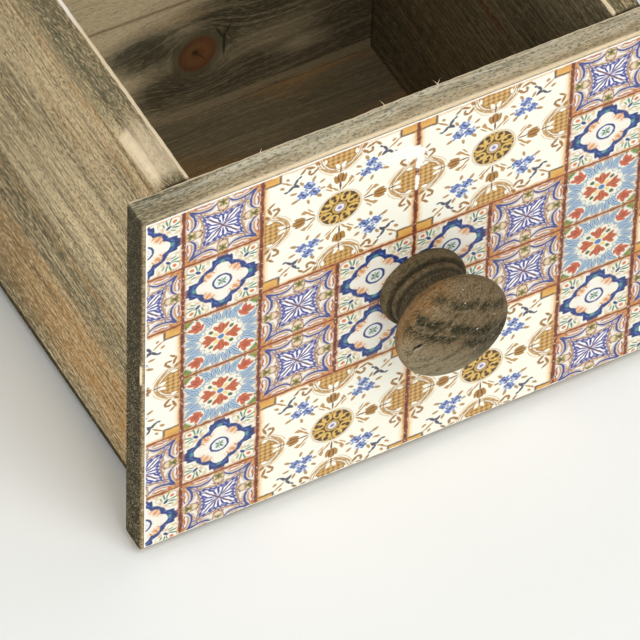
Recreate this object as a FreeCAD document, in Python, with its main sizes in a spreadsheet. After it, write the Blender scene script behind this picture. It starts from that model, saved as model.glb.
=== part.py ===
"""Utensil caddy: a deep wooden drawer with a tile-print front and a turned knob, in its plain case.

Lengths are in millimetres. +X is to the right, +Y to the back and +Z up. The origin is the centre
of the case's underside, and the drawer stands pulled out towards -Y.
"""
import FreeCAD, Part
import math
import os
import re
import Sketcher

# Driving sizes. Each is set once here and becomes a cell of the spreadsheet.
SIZES = {
    # drawer
    "front_width": 170.0,
    "front_height": 136.0,
    "drawer_board": 9.0,
    "box_depth": 138.5,
    "bottom_panel": 2.0,
    "arris": 1.2,
    "pulled_out": 111.25,
    # print glued on the drawer's front
    "print_thickness": 0.4,
    "print_inset": 1.2,
    # case
    "case_board": 9.0,
    "base_panel": 3.0,
    "side_clearance": 1.5,
    "top_clearance": 1.0,
    "rear_clearance": 2.0,
    "running_gap": 0.3,
    # turned knob, measured from its seat on the print
    "knob_shift": 1.95,
    "knob_raise": 0.4,
    "foot_diameter": 25.4,
    "flange_round": 4.4,
    "rim_diameter": 25.5,
    "rim_height": 3.75,
    "rim_round": 2.4,
    "groove_diameter": 22.4,
    "groove_height": 4.15,
    "bead_round": 1.9,
    "bead_diameter": 21.8,
    "bead_height": 6.2,
    "neck_round": 4.0,
    "throat_diameter": 22.4,
    "throat_height": 12.2,
    "underside_round": 5.9,
    "head_diameter": 34.1,
    "head_height": 18.1,
    "shoulder_round": 4.4,
    "knob_length": 25.4,
    # screw and washer that hold the knob from inside the drawer
    "screw_diameter": 3.6,
    "screw_grip": 13.0,
    "screw_head_diameter": 7.2,
    "screw_head_height": 2.4,
    "screw_play": 0.3,
    "bore_spare": 1.5,
    "washer_diameter": 11.0,
    "washer_thickness": 1.0,
    # headless brads: long ones for the boards, short pins for the thin panels
    "nail_diameter": 1.8,
    "nail_length": 24.0,
    "pin_length": 12.0,
}

# Where nails stand, as shares of the board that they go into.
HEIGHT_SHARES = (0.16, 0.5, 0.84)
DEPTH_SHARES = (0.15, 0.5, 0.8)
WIDTH_SHARES = (-0.25, 0.25)

# Sizes and places that follow from the driving ones.
BOX_WIDTH = "(front_width - 2 * (case_board + side_clearance))"
BOX_INSIDE = f"({BOX_WIDTH} - 2 * drawer_board)"
BOX_UNDERSIDE = "(base_panel + running_gap)"
BOX_SIDE_FOOT = f"({BOX_UNDERSIDE} + bottom_panel)"
BOX_SIDE_HEIGHT = "(front_height - bottom_panel)"
CASE_INSIDE = "(front_width - 2 * case_board)"
CASE_DEPTH = "(box_depth + rear_clearance + case_board)"
CASE_FRONT = f"(-{CASE_DEPTH} / 2)"
CASE_SIDE_HEIGHT = "(running_gap + front_height + top_clearance)"
CASE_BACK_Y = f"({CASE_FRONT} + box_depth + rear_clearance)"
CASE_TOP_Z = f"(base_panel + {CASE_SIDE_HEIGHT})"
FRONT_INNER_Y = f"({CASE_FRONT} - pulled_out)"
FRONT_FACE_Y = f"({FRONT_INNER_Y} - drawer_board)"
PRINT_FACE_Y = f"({FRONT_FACE_Y} - print_thickness)"
BACK_Y = f"({FRONT_INNER_Y} + box_depth - drawer_board)"
KNOB_Z = f"({BOX_UNDERSIDE} + front_height / 2 + knob_raise)"
BORE_DEPTH = "(screw_grip + bore_spare)"
SHANK_LENGTH = "(washer_thickness + drawer_board + print_thickness + screw_grip)"

# How close two coordinates lie when they mean the same place.
TOUCH = 1e-6

# The six sides of a board: the axis across each, and which end of it.
SIDES = {
    "left": ("X", "Min"),
    "right": ("X", "Max"),
    "front": ("Y", "Min"),
    "back": ("Y", "Max"),
    "bottom": ("Z", "Min"),
    "top": ("Z", "Max"),
}

# Turns that point a solid made along +Z the other ways.
X_AXIS = FreeCAD.Vector(1, 0, 0)
Y_AXIS = FreeCAD.Vector(0, 1, 0)
POINTING = {
    "up": FreeCAD.Rotation(),
    "down": FreeCAD.Rotation(X_AXIS, 180),
    "back": FreeCAD.Rotation(X_AXIS, -90),
    "front": FreeCAD.Rotation(X_AXIS, 90),
    "right": FreeCAD.Rotation(Y_AXIS, 90),
    "left": FreeCAD.Rotation(Y_AXIS, -90),
}

doc = FreeCAD.newDocument("utensil_caddy")
nodes = {}


def make_sheet():
    """Write the driving sizes into a spreadsheet, one named cell each."""
    sheet = doc.addObject("Spreadsheet::Sheet", "sizes")
    for row, (alias, value) in enumerate(SIZES.items(), start=1):
        sheet.set(f"A{row}", alias)
        sheet.set(f"B{row}", str(value))
        sheet.setAlias(f"B{row}", alias)
    doc.recompute()


def bind(item, prop, formula):
    """Tie a property to a formula of the sheet's named sizes."""
    item.setExpression(prop, re.sub(r"\b([a-z]\w*)\b", r"sizes.\1", str(formula)))


def place(item, corner, pointing="up"):
    """Put an item at a place given as three formulas, turned to point the given way."""
    item.Placement = FreeCAD.Placement(FreeCAD.Vector(), POINTING[pointing])
    for axis, formula in zip("xyz", corner):
        bind(item, f"Placement.Base.{axis}", formula)


def keep(item, name):
    """Make an item a node of the part, under the name that a person would use."""
    item.Label = name
    nodes[name] = item


def origin_plane(body, role):
    """Find one of the body's own origin planes."""
    return next(plane for plane in body.Origin.OriginFeatures if plane.Role == role)


def new_sketch(body, role):
    """Start a sketch on one of the body's origin planes."""
    sketch = body.newObject("Sketcher::SketchObject", f"{body.Name}_sketch")
    sketch.AttachmentSupport = [(origin_plane(body, role), "")]
    sketch.MapMode = "FlatFace"
    return sketch


def dimension(sketch, name, formula, constraint):
    """Add a named dimension to a sketch and tie it to a formula."""
    index = sketch.addConstraint(constraint)
    sketch.renameConstraint(index, name)
    bind(sketch, f"Constraints.{name}", formula)


def board_edges(shape, pairs):
    """Name the straight edges where the given pairs of sides of a board meet."""
    box = shape.BoundBox
    names = []
    for number, edge in enumerate(shape.Edges, start=1):
        middle = edge.CenterOfMass
        for pair in pairs:
            ends = [SIDES[side] for side in pair]
            if all(abs(getattr(middle, axis.lower()) - getattr(box, axis + end)) < TOUCH
                   for axis, end in ends):
                names.append(f"Edge{number}")
    return names


def board(name, size, corner, eased=()):
    """Make a board of the given size with its lowest corner at the given place, and ease its arrises."""
    body = doc.addObject("PartDesign::Body", f"{name}_body")
    sketch = new_sketch(body, "XY_Plane")
    unit = [FreeCAD.Vector(x, y, 0) for x, y in ((0, 0), (1, 0), (1, 1), (0, 1))]
    for side in range(4):
        sketch.addGeometry(Part.LineSegment(unit[side], unit[(side + 1) % 4]), False)
    for side in range(4):
        sketch.addConstraint(Sketcher.Constraint("Coincident", side, 2, (side + 1) % 4, 1))
        sketch.addConstraint(Sketcher.Constraint("Vertical" if side % 2 else "Horizontal", side))
    sketch.addConstraint(Sketcher.Constraint("Coincident", 0, 1, -1, 1))
    dimension(sketch, "across", size[0], Sketcher.Constraint("DistanceX", 0, 1, 0, 2, 1))
    dimension(sketch, "along", size[1], Sketcher.Constraint("DistanceY", 1, 1, 1, 2, 1))
    pad = body.newObject("PartDesign::Pad", f"{name}_pad")
    pad.Profile = sketch
    bind(pad, "Length", size[2])
    if eased:
        doc.recompute()
        fillet = body.newObject("PartDesign::Fillet", f"{name}_arrises")
        fillet.Base = (pad, board_edges(pad.Shape, eased))
        bind(fillet, "Radius", "arris")
    place(body, corner)
    return body


def cylinder(name, diameter, height, corner, pointing):
    """Make a round bar from its centre of foot, pointing the given way."""
    bar = doc.addObject("Part::Cylinder", name)
    bind(bar, "Radius", f"{diameter} / 2")
    bind(bar, "Height", height)
    place(bar, corner, pointing)
    return bar


def nail_group(name, length, spots):
    """Make a node of like brads. Each spot is the centre of a flush head and the way the brad points."""
    group = doc.addObject("Part::Compound", name)
    group.Links = [cylinder(f"{name}_{number}", "nail_diameter", length, corner, pointing)
                   for number, (corner, pointing) in enumerate(spots, start=1)]
    keep(group, name)
    return group


def drilled(name, body, tools):
    """Cut the holes for fasteners into a piece, with the fasteners' own solids, and keep it as a node."""
    holes = doc.addObject("Part::Compound", f"{name}_holes")
    holes.Links = tools
    cut = doc.addObject("Part::Cut", name)
    cut.Base = body
    cut.Tool = holes
    keep(cut, name)


def both_sides(offset):
    """The left and the right place of something that stands off the middle by a formula."""
    return (f"-{offset}", offset)


def make_nails():
    """Nail the drawer and the case together, and give the groups by name."""
    groups = {}
    side_middle = f"({BOX_WIDTH} / 2 - drawer_board / 2)"
    case_middle = "(front_width / 2 - case_board / 2)"
    groups["front"] = nail_group("drawer_front_nails", "nail_length", [
        ((x, FRONT_FACE_Y, f"{BOX_SIDE_FOOT} + {share} * {BOX_SIDE_HEIGHT}"), "back")
        for x in both_sides(side_middle) for share in HEIGHT_SHARES])
    groups["back"] = nail_group("drawer_back_nails", "nail_length", [
        ((x, f"{BACK_Y} + drawer_board / 2", f"{BOX_SIDE_FOOT} + {share} * {BOX_SIDE_HEIGHT}"), way)
        for x, way in zip(both_sides(f"{BOX_WIDTH} / 2"), ("right", "left")) for share in HEIGHT_SHARES])
    groups["bottom"] = nail_group("drawer_bottom_pins", "pin_length", [
        ((x, f"{FRONT_INNER_Y} + {share} * box_depth", BOX_UNDERSIDE), "up")
        for x in both_sides(side_middle) for share in DEPTH_SHARES] + [
        ((f"{share} * {BOX_WIDTH}", f"{BACK_Y} + drawer_board / 2", BOX_UNDERSIDE), "up")
        for share in WIDTH_SHARES])
    top_of_case = f"({CASE_TOP_Z} + case_board)"
    case_back_middle = f"{CASE_BACK_Y} + case_board / 2"
    edge_spots = [(x, f"{CASE_FRONT} + {share} * {CASE_DEPTH}")
                  for x in both_sides(case_middle) for share in DEPTH_SHARES]
    edge_spots += [(f"{share} * {CASE_INSIDE}", case_back_middle) for share in WIDTH_SHARES]
    groups["case_top"] = nail_group("case_top_nails", "nail_length", [
        ((x, y, top_of_case), "down") for x, y in edge_spots])
    groups["case_base"] = nail_group("case_base_pins", "pin_length", [
        ((x, y, "0"), "up") for x, y in edge_spots])
    groups["case_back"] = nail_group("case_back_nails", "nail_length", [
        ((x, case_back_middle, f"base_panel + {share} * {CASE_SIDE_HEIGHT}"), way)
        for x, way in zip(both_sides("front_width / 2"), ("right", "left")) for share in HEIGHT_SHARES])
    return groups


def make_case(nails):
    """The plain case: two sides, a back between them, a top over them and a thin base under them."""
    all_case = [nails["case_top"], nails["case_base"], nails["case_back"]]
    side_size = ("case_board", CASE_DEPTH, CASE_SIDE_HEIGHT)
    left = board("case_left_side", side_size, ("-front_width / 2", CASE_FRONT, "base_panel"),
                 [("left", "front"), ("right", "front")])
    drilled("case_left_side", left, all_case)
    right = board("case_right_side", side_size, ("front_width / 2 - case_board", CASE_FRONT, "base_panel"),
                  [("left", "front"), ("right", "front")])
    drilled("case_right_side", right, all_case)
    back = board("case_back", (CASE_INSIDE, "case_board", CASE_SIDE_HEIGHT),
                 (f"-{CASE_INSIDE} / 2", CASE_BACK_Y, "base_panel"))
    drilled("case_back", back, all_case)
    rims = [(side, "top") for side in ("left", "right", "front", "back")] + [("front", "bottom")]
    top = board("case_top", ("front_width", CASE_DEPTH, "case_board"),
                ("-front_width / 2", CASE_FRONT, CASE_TOP_Z), rims)
    drilled("case_top", top, [nails["case_top"]])
    base = board("case_base", ("front_width", CASE_DEPTH, "base_panel"),
                 ("-front_width / 2", CASE_FRONT, "0"))
    drilled("case_base", base, [nails["case_base"]])


def make_drawer_box(nails):
    """The drawer's box: two sides, a back between them and a thin bottom nailed on from beneath."""
    side_size = ("drawer_board", "box_depth", BOX_SIDE_HEIGHT)
    side_tools = [nails["front"], nails["back"], nails["bottom"]]
    tops = [("left", "top"), ("right", "top")]
    left = board("drawer_left_side", side_size, (f"-{BOX_WIDTH} / 2", FRONT_INNER_Y, BOX_SIDE_FOOT), tops)
    drilled("drawer_left_side", left, side_tools)
    right = board("drawer_right_side", side_size,
                  (f"{BOX_WIDTH} / 2 - drawer_board", FRONT_INNER_Y, BOX_SIDE_FOOT), tops)
    drilled("drawer_right_side", right, side_tools)
    back = board("drawer_back", (BOX_INSIDE, "drawer_board", BOX_SIDE_HEIGHT),
                 (f"-{BOX_INSIDE} / 2", BACK_Y, BOX_SIDE_FOOT), [("front", "top"), ("back", "top")])
    drilled("drawer_back", back, [nails["back"], nails["bottom"]])
    bottom = board("drawer_bottom", (BOX_WIDTH, "box_depth", "bottom_panel"),
                   (f"-{BOX_WIDTH} / 2", FRONT_INNER_Y, BOX_UNDERSIDE))
    drilled("drawer_bottom", bottom, [nails["bottom"]])


def make_drawer_front(nails):
    """The overlay front with its eased arrises, and the print glued on its face."""
    rims = [(side, "front") for side in ("left", "right", "top", "bottom")]
    rims += [(side, "back") for side in ("left", "right", "top")]
    front = board("drawer_front_board", ("front_width", "drawer_board", "front_height"),
                  ("-front_width / 2", FRONT_FACE_Y, BOX_UNDERSIDE), rims)
    hole = cylinder("knob_screw_hole", "(screw_diameter + 2 * screw_play)",
                    "(print_thickness + drawer_board)", ("knob_shift", PRINT_FACE_Y, KNOB_Z), "back")
    drilled("drawer_front_board", front, [nails["front"], hole])
    sheet = board("tile_print",
                  ("(front_width - 2 * print_inset)", "print_thickness", "(front_height - 2 * print_inset)"),
                  ("-front_width / 2 + print_inset", PRINT_FACE_Y, f"{BOX_UNDERSIDE} + print_inset"))
    drilled("tile_print", sheet, [hole])


# The knob's half profile from its seat upwards: point, distance across, height, round to the next point and
# the side that the round swells to, 1 outwards and -1 inwards.
KNOB_PROFILE = (
    ("foot", "foot_diameter", None, "flange_round", 1),
    ("rim", "rim_diameter", "rim_height", "rim_round", 1),
    ("groove", "groove_diameter", "groove_height", "bead_round", 1),
    ("bead", "bead_diameter", "bead_height", "neck_round", -1),
    ("throat", "throat_diameter", "throat_height", "underside_round", 1),
    ("equator", "head_diameter", "head_height", "shoulder_round", 1),
)


def arc(sketch, start, end, radius, bulge):
    """Add an arc between two points of a sketch, swelling right of the way, or left of it if bulge is -1."""
    chord = end - start
    inwards = FreeCAD.Vector(-chord.y, chord.x, 0).normalize() * bulge
    centre = start + chord * 0.5 + inwards * (radius ** 2 - chord.Length ** 2 / 4) ** 0.5
    first, last = (start, end) if bulge > 0 else (end, start)
    angles = [math.atan2(point.y - centre.y, point.x - centre.x) for point in (first, last)]
    circle = Part.Circle(centre, FreeCAD.Vector(0, 0, 1), radius)
    return sketch.addGeometry(Part.ArcOfCircle(circle, angles[0], angles[1]), False)


def end_of(sketch, curve, point):
    """Which end of a sketch curve, 1 or 2, lies at a point."""
    shape = sketch.Geometry[curve]
    return 1 if shape.StartPoint.distanceToPoint(point) < shape.EndPoint.distanceToPoint(point) else 2


def crown_arc():
    """The radius of the knob's crown, centred on its axis, and the point where the shoulder runs into it."""
    overhang = SIZES["head_diameter"] / 2 - SIZES["shoulder_round"]
    rise = SIZES["knob_length"] - SIZES["head_height"]
    shoulder = SIZES["shoulder_round"]
    radius = (overhang ** 2 + rise ** 2 - shoulder ** 2) / (2 * (rise - shoulder))
    centre = FreeCAD.Vector(0, SIZES["knob_length"] - radius, 0)
    way = FreeCAD.Vector(overhang, SIZES["head_height"] - centre.y, 0).normalize()
    return radius, centre + way * radius


def make_knob():
    """The turned knob: a stepped flange, a bead, a hollow neck and a lens-shaped head, bored for its screw."""
    body = doc.addObject("PartDesign::Body", "knob_body")
    sketch = new_sketch(body, "XZ_Plane")
    crown_radius, crown_start = crown_arc()
    points = [FreeCAD.Vector(SIZES[across] / 2, SIZES.get(up, 0), 0) for _, across, up, _, _ in KNOB_PROFILE]
    points += [crown_start, FreeCAD.Vector(0, SIZES["knob_length"], 0), FreeCAD.Vector()]
    curves = [arc(sketch, points[number], points[number + 1], SIZES[alias], bulge)
              for number, (_, _, _, alias, bulge) in enumerate(KNOB_PROFILE)]
    shoulder = curves[-1]
    crown = arc(sketch, crown_start, points[-2], crown_radius, 1)
    axis_line = sketch.addGeometry(Part.LineSegment(points[-2], points[-1]), False)
    seat_line = sketch.addGeometry(Part.LineSegment(points[-1], points[0]), False)
    curves += [crown, axis_line, seat_line]
    ends = [end_of(sketch, curve, point) for curve, point in zip(curves, points)]
    for number, curve in enumerate(curves):
        before = curves[number - 1]
        join = "Tangent" if curve == crown else "Coincident"
        sketch.addConstraint(Sketcher.Constraint(
            join, before, end_of(sketch, before, points[number]), curve, ends[number]))
    for number, (name, across, up, alias, _) in enumerate(KNOB_PROFILE):
        dimension(sketch, f"{name}_across", f"{across} / 2", Sketcher.Constraint(
            "DistanceX", -1, 1, curves[number], ends[number], points[number].x))
        if up:
            dimension(sketch, f"{name}_up", up, Sketcher.Constraint(
                "DistanceY", -1, 1, curves[number], ends[number], points[number].y))
        dimension(sketch, alias, alias, Sketcher.Constraint("Radius", curves[number], SIZES[alias]))
    dimension(sketch, "tip_up", "knob_length", Sketcher.Constraint(
        "DistanceY", -1, 1, axis_line, 1, SIZES["knob_length"]))
    sketch.addConstraint(Sketcher.Constraint("Coincident", seat_line, 1, -1, 1))
    sketch.addConstraint(Sketcher.Constraint("Horizontal", seat_line))
    sketch.addConstraint(Sketcher.Constraint("Vertical", axis_line))
    equator_end = ends[len(KNOB_PROFILE) - 1]
    sketch.addConstraint(Sketcher.Constraint("Horizontal", shoulder, 3, shoulder, equator_end))
    sketch.addConstraint(Sketcher.Constraint("PointOnObject", crown, 3, -2))
    turning = body.newObject("PartDesign::Revolution", "knob_turning")
    turning.Profile = sketch
    turning.ReferenceAxis = (sketch, ["V_Axis"])
    turning.Angle = 360
    place(body, ("knob_shift", PRINT_FACE_Y, KNOB_Z), "front")
    bore = cylinder("knob_bore", "screw_diameter", BORE_DEPTH, ("knob_shift", PRINT_FACE_Y, KNOB_Z), "front")
    drilled("knob", body, [bore])


def make_screw():
    """The pan-head screw from inside the drawer into the knob, and the washer under its head."""
    seat = ("knob_shift", f"{FRONT_INNER_Y} + washer_thickness", KNOB_Z)
    shank = cylinder("knob_screw_shank", "screw_diameter", SHANK_LENGTH, seat, "front")
    dome = doc.addObject("Part::Cone", "knob_screw_head")
    bind(dome, "Radius1", "screw_head_diameter / 2")
    bind(dome, "Radius2", "screw_diameter / 2")
    bind(dome, "Height", "screw_head_height")
    place(dome, seat, "back")
    screw = doc.addObject("Part::Fuse", "knob_screw")
    screw.Base = shank
    screw.Tool = dome
    keep(screw, "knob_screw")
    disc = cylinder("knob_washer_disc", "washer_diameter", "washer_thickness",
                    ("knob_shift", FRONT_INNER_Y, KNOB_Z), "back")
    drilled("knob_washer", disc, [shank])


def check_document():
    """Stop if any object failed to rebuild or any node has no sound solid."""
    for item in doc.Objects:
        if "Invalid" in item.State or "Error" in item.State:
            raise RuntimeError(f"{item.Name} did not rebuild: {item.State}")
    for name, item in nodes.items():
        if item.Shape.isNull() or not item.Shape.isValid() or not item.Shape.Solids:
            raise RuntimeError(f"{name} has no sound solid")


def write_nodes():
    """Write each node's solid to a file of its own."""
    os.makedirs("parts", exist_ok=True)
    for name, item in nodes.items():
        item.Shape.exportStep(f"parts/{name}.step")
        print(f"{name}: {len(item.Shape.Solids)} solids, {item.Shape.Volume:.1f} cubic mm")


make_sheet()
nail_groups = make_nails()
make_case(nail_groups)
make_drawer_box(nail_groups)
make_drawer_front(nail_groups)
make_knob()
make_screw()
doc.recompute()
check_document()
write_nodes()
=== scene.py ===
"""Looks of a wooden utensil caddy: worn stained-pine boards, a tile print, a turned knob and a plain stage.

Meshes are in metres and patterns in millimetres. The drawer pulls out towards -Y.
"""
import math

import bpy
import numpy as np
from bpy.props import FloatProperty, FloatVectorProperty, PointerProperty
from mathutils import Matrix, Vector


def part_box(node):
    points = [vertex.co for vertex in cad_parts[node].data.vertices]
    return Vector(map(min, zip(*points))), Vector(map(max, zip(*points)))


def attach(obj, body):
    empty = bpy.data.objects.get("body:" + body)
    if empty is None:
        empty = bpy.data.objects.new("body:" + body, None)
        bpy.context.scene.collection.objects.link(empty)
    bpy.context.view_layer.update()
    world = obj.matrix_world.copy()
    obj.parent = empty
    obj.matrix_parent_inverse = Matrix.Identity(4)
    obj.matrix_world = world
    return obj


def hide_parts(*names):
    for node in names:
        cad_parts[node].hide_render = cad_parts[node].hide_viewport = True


bl_info = {
    "name": "Utensil caddy",
    "version": (1, 0, 0),
    "blender": (4, 5, 0),
    "location": "View3D > Sidebar > Caddy",
    "description": "Dresses the packed caddy with worn pine boards, a tile print and a turned knob",
    "category": "Add Mesh",
}

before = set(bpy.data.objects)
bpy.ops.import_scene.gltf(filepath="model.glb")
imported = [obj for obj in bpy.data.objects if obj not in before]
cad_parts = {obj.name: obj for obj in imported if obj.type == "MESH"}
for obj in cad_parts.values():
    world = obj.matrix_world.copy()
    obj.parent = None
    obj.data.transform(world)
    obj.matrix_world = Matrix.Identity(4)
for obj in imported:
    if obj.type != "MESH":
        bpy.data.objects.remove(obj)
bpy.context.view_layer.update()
MM = 0.001


def linear(hex_colour):
    """Turn an sRGB hex colour such as #A69372 into linear red, green, blue and alpha."""
    srgb = np.array([int(hex_colour[start:start + 2], 16) for start in (1, 3, 5)]) / 255
    channels = np.where(srgb <= 0.04045, srgb / 12.92, ((srgb + 0.055) / 1.055) ** 2.4)
    return (*channels.tolist(), 1.0)


def colour_property(name, description, hex_colour):
    """A colour that the user can change."""
    return FloatVectorProperty(name=name, description=description, subtype="COLOR", size=4, min=0, max=1,
                               default=linear(hex_colour))


def length_property(name, description, millimetres):
    """A length that the user can change."""
    return FloatProperty(name=name, description=description, default=millimetres * MM, unit="LENGTH")


class CaddyWood(bpy.types.PropertyGroup):
    """Sizes and colours of the stained boards."""
    arris: length_property("Arris", "Radius of the sanded arrises", 1.2)
    panel_arris: length_property("Panel arris", "Radius of the thin panels' arrises", 0.35)
    inset: length_property("Sanding", "How much sanding took off each face", 0.05)
    step: length_property("Step", "Distance between mesh rows along the grain", 0.8)
    pale: colour_property("Pale", "Pale streaks and slivers of the stained pine", "#D0BB93")
    khaki: colour_property("Khaki", "Main colour of the stained pine", "#A49270")
    warm: colour_property("Warm", "Orange-brown heartwood", "#AD824B")
    grey: colour_property("Grey", "Grey-green weathered bands", "#7C7051")
    dark: colour_property("Dark", "Dark streaks and torn fibres", "#4C4532")
    mould: colour_property("Mould", "Dark green-grey weathering", "#5A5947")
    raw: colour_property("Raw", "Bare pine where the stain is sanded off", "#EFDAB6")
    red: colour_property("Red", "Resin streaks and the knot", "#6F4024")
    end_grain: colour_property("End grain", "Ends that soaked up the stain", "#2C281A")


class CaddyPrint(bpy.types.PropertyGroup):
    """Sizes of the tile print."""
    tile_width: length_property("Tile width", "Width of one printed tile", 24.0)
    tile_height: length_property("Tile height", "Height of one printed tile", 22.6)
    middle: FloatVectorProperty(name="Middle", size=2, unit="LENGTH", default=(-0.45 * MM, 70.5 * MM),
                                description="Where the pattern's middle lines cross, across and up")


class CaddyKnob(bpy.types.PropertyGroup):
    """Sizes and colours of the turned knob."""
    foot: length_property("Foot", "Diameter at the seat", 25.4)
    rim: length_property("Rim", "Diameter of the flange's front edge", 25.5)
    groove: length_property("Groove", "Diameter where the flange's step meets the bead", 22.4)
    bead: length_property("Bead", "Diameter where the bead meets the neck", 21.8)
    throat: length_property("Throat", "Diameter where the neck meets the head", 22.4)
    head: length_property("Head", "Diameter of the head", 34.1)
    brown: colour_property("Brown", "Main colour of the stained wood", "#756247")
    pale: colour_property("Pale", "Grey worn side of the head", "#918468")
    dark: colour_property("Dark", "Olive bands, grooves and pores", "#2E2A17")
    orange: colour_property("Orange", "Warm wood on the shoulder", "#80603A")


class CaddyStage(bpy.types.PropertyGroup):
    """Floor, lamps and camera."""
    floor: colour_property("Floor", "Colour of the floor", "#FAFCF9")
    key_power: FloatProperty(name="Key", description="Power of the key lamp", default=16.5, unit="POWER")
    fill_power: FloatProperty(name="Fill", description="Power of the fill lamp", default=8.5, unit="POWER")
    ambient: FloatProperty(name="Ambient", default=0.43,
                           description="Strength of the even light from all round")
    lens: FloatProperty(name="Lens", description="Focal length", default=430.1, subtype="DISTANCE_CAMERA")


def add_node(tree, kind, settings=None, inputs=None):
    """Add a node, set its settings, and link or fill its inputs."""
    node = tree.nodes.new(kind)
    for key, value in (settings or {}).items():
        setattr(node, key, value)
    for key, value in (inputs or {}).items():
        source = getattr(value, "socket", value)
        if isinstance(source, bpy.types.NodeSocket):
            tree.links.new(source, node.inputs[key])
        else:
            node.inputs[key].default_value = source
    return node


class Field:
    """A number that varies over a surface. Arithmetic on fields adds Math nodes to their material."""

    def __init__(self, tree, socket):
        self.tree = tree
        self.socket = socket

    def calc(self, operation, *others, clamp=False):
        """A field worked out from this one, as the first input, and others."""
        inputs = dict(enumerate((self, *others)))
        node = add_node(self.tree, "ShaderNodeMath", {"operation": operation, "use_clamp": clamp}, inputs)
        return Field(self.tree, node.outputs[0])

    def __add__(self, other):
        return self.calc("ADD", other)

    def __sub__(self, other):
        return self.calc("SUBTRACT", other)

    def __rsub__(self, other):
        return self.calc("MULTIPLY_ADD", -1.0, other)

    def __mul__(self, other):
        return self.calc("MULTIPLY", other)

    def __abs__(self):
        return self.calc("ABSOLUTE")

    __radd__ = __add__
    __rmul__ = __mul__

    def rise(self, low, high):
        """0 below the low value, 1 above the high one, a ramp between; the other way where low is higher."""
        slope = 1 / (high - low)
        return self.calc("MULTIPLY_ADD", slope, -low * slope, clamp=True)

    def between(self, low, high, soft):
        """1 between two values, with soft edges."""
        return self.rise(low - soft, low + soft) * self.rise(high + soft, high - soft)

    def sway(self, reach):
        """A noise made to swing about 0, by up to about half of reach each way."""
        return (self - 0.5) * reach


class Coat:
    """Layers of colour, each laid over the last where its mask is 1."""

    def __init__(self, tree, colour):
        self.tree = tree
        self.socket = linear(colour) if isinstance(colour, str) else colour

    def lay(self, colour, mask):
        """Lay a colour, or another coat, through a mask."""
        colour = linear(colour) if isinstance(colour, str) else colour
        node = add_node(self.tree, "ShaderNodeMix", {"data_type": "RGBA"}, {0: mask, 6: self, 7: colour})
        self.socket = node.outputs[2]


def new_material(name):
    """Start a node material, and give its tree and its shader."""
    material = bpy.data.materials.new(name)
    material.use_nodes = True
    return material, material.node_tree, material.node_tree.nodes["Principled BSDF"]


def place_in_mm(tree, turn=(0.0, 0.0, 0.0), shift=(0.0, 0.0, 0.0)):
    """Object coordinates in millimetres, turned and then shifted."""
    source = add_node(tree, "ShaderNodeTexCoord").outputs["Object"]
    inputs = {"Vector": source, "Scale": (1 / MM,) * 3, "Rotation": turn, "Location": shift}
    return add_node(tree, "ShaderNodeMapping", None, inputs).outputs[0]


def fields_of(tree, node):
    """A node's outputs as fields."""
    return [Field(tree, socket) for socket in node.outputs]


def shaken(tree, vector, size, reach):
    """A place moved about by noise of the given size, by up to about half of reach along each axis."""
    noise = add_node(tree, "ShaderNodeTexNoise", None, {"Vector": vector, "Scale": 1 / size, "Detail": 1.0})
    middle = add_node(tree, "ShaderNodeVectorMath", {"operation": "SUBTRACT"},
                      {0: noise.outputs[1], 1: (0.5,) * 3})
    moved = add_node(tree, "ShaderNodeVectorMath", {"operation": "MULTIPLY_ADD"},
                     {0: middle.outputs[0], 1: reach, 2: vector})
    return moved.outputs[0]


def streaks(tree, vector, along, across, detail, seed):
    """Noise drawn out along the first axis, in spots of about along by across millimetres."""
    scale, shift = (1 / along, 1 / across, 1 / across), (seed, -seed, seed / 2)
    inputs = {"Vector": vector, "Scale": scale, "Location": shift}
    spread = add_node(tree, "ShaderNodeMapping", None, inputs).outputs[0]
    noise = add_node(tree, "ShaderNodeTexNoise", None, {"Vector": spread, "Scale": 1.0, "Detail": detail})
    return Field(tree, noise.outputs[0])


def finish_shader(tree, shader, colour, roughness, height, relief):
    """Link colour, roughness and a relief of the given height in metres to a shader."""
    bump = add_node(tree, "ShaderNodeBump", None, {"Height": height, "Distance": relief, "Strength": 1.0})
    tree.links.new(colour.socket, shader.inputs["Base Color"])
    tree.links.new(roughness.socket, shader.inputs["Roughness"])
    tree.links.new(bump.outputs[0], shader.inputs["Normal"])


def distance(u, v):
    """Distance of a place from the middle."""
    return (u * u + v * v).calc("SQRT")


def oval(u, v, centre, radii):
    """An ellipse as a field that is 0 at its centre and 1 on its outline."""
    return distance((u - centre[0]) * (1 / radii[0]), (v - centre[1]) * (1 / radii[1]))


def spot(u, v, centre, radii, soft):
    """A soft-edged ellipse as a mask."""
    return oval(u, v, centre, radii).rise(1 + soft, 1 - soft)


def line(field, level, half, soft):
    """A soft-edged line along a level of a field as a mask."""
    return abs(field - level).rise(half + soft, half - soft)


# Turns that lay each board's grain along the pattern's first axis.
GRAIN_TURN = {"X": (0.0, 0.0, 0.0), "Y": (0.0, 0.0, -math.pi / 2), "Z": (0.0, math.pi / 2, 0.0)}


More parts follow.
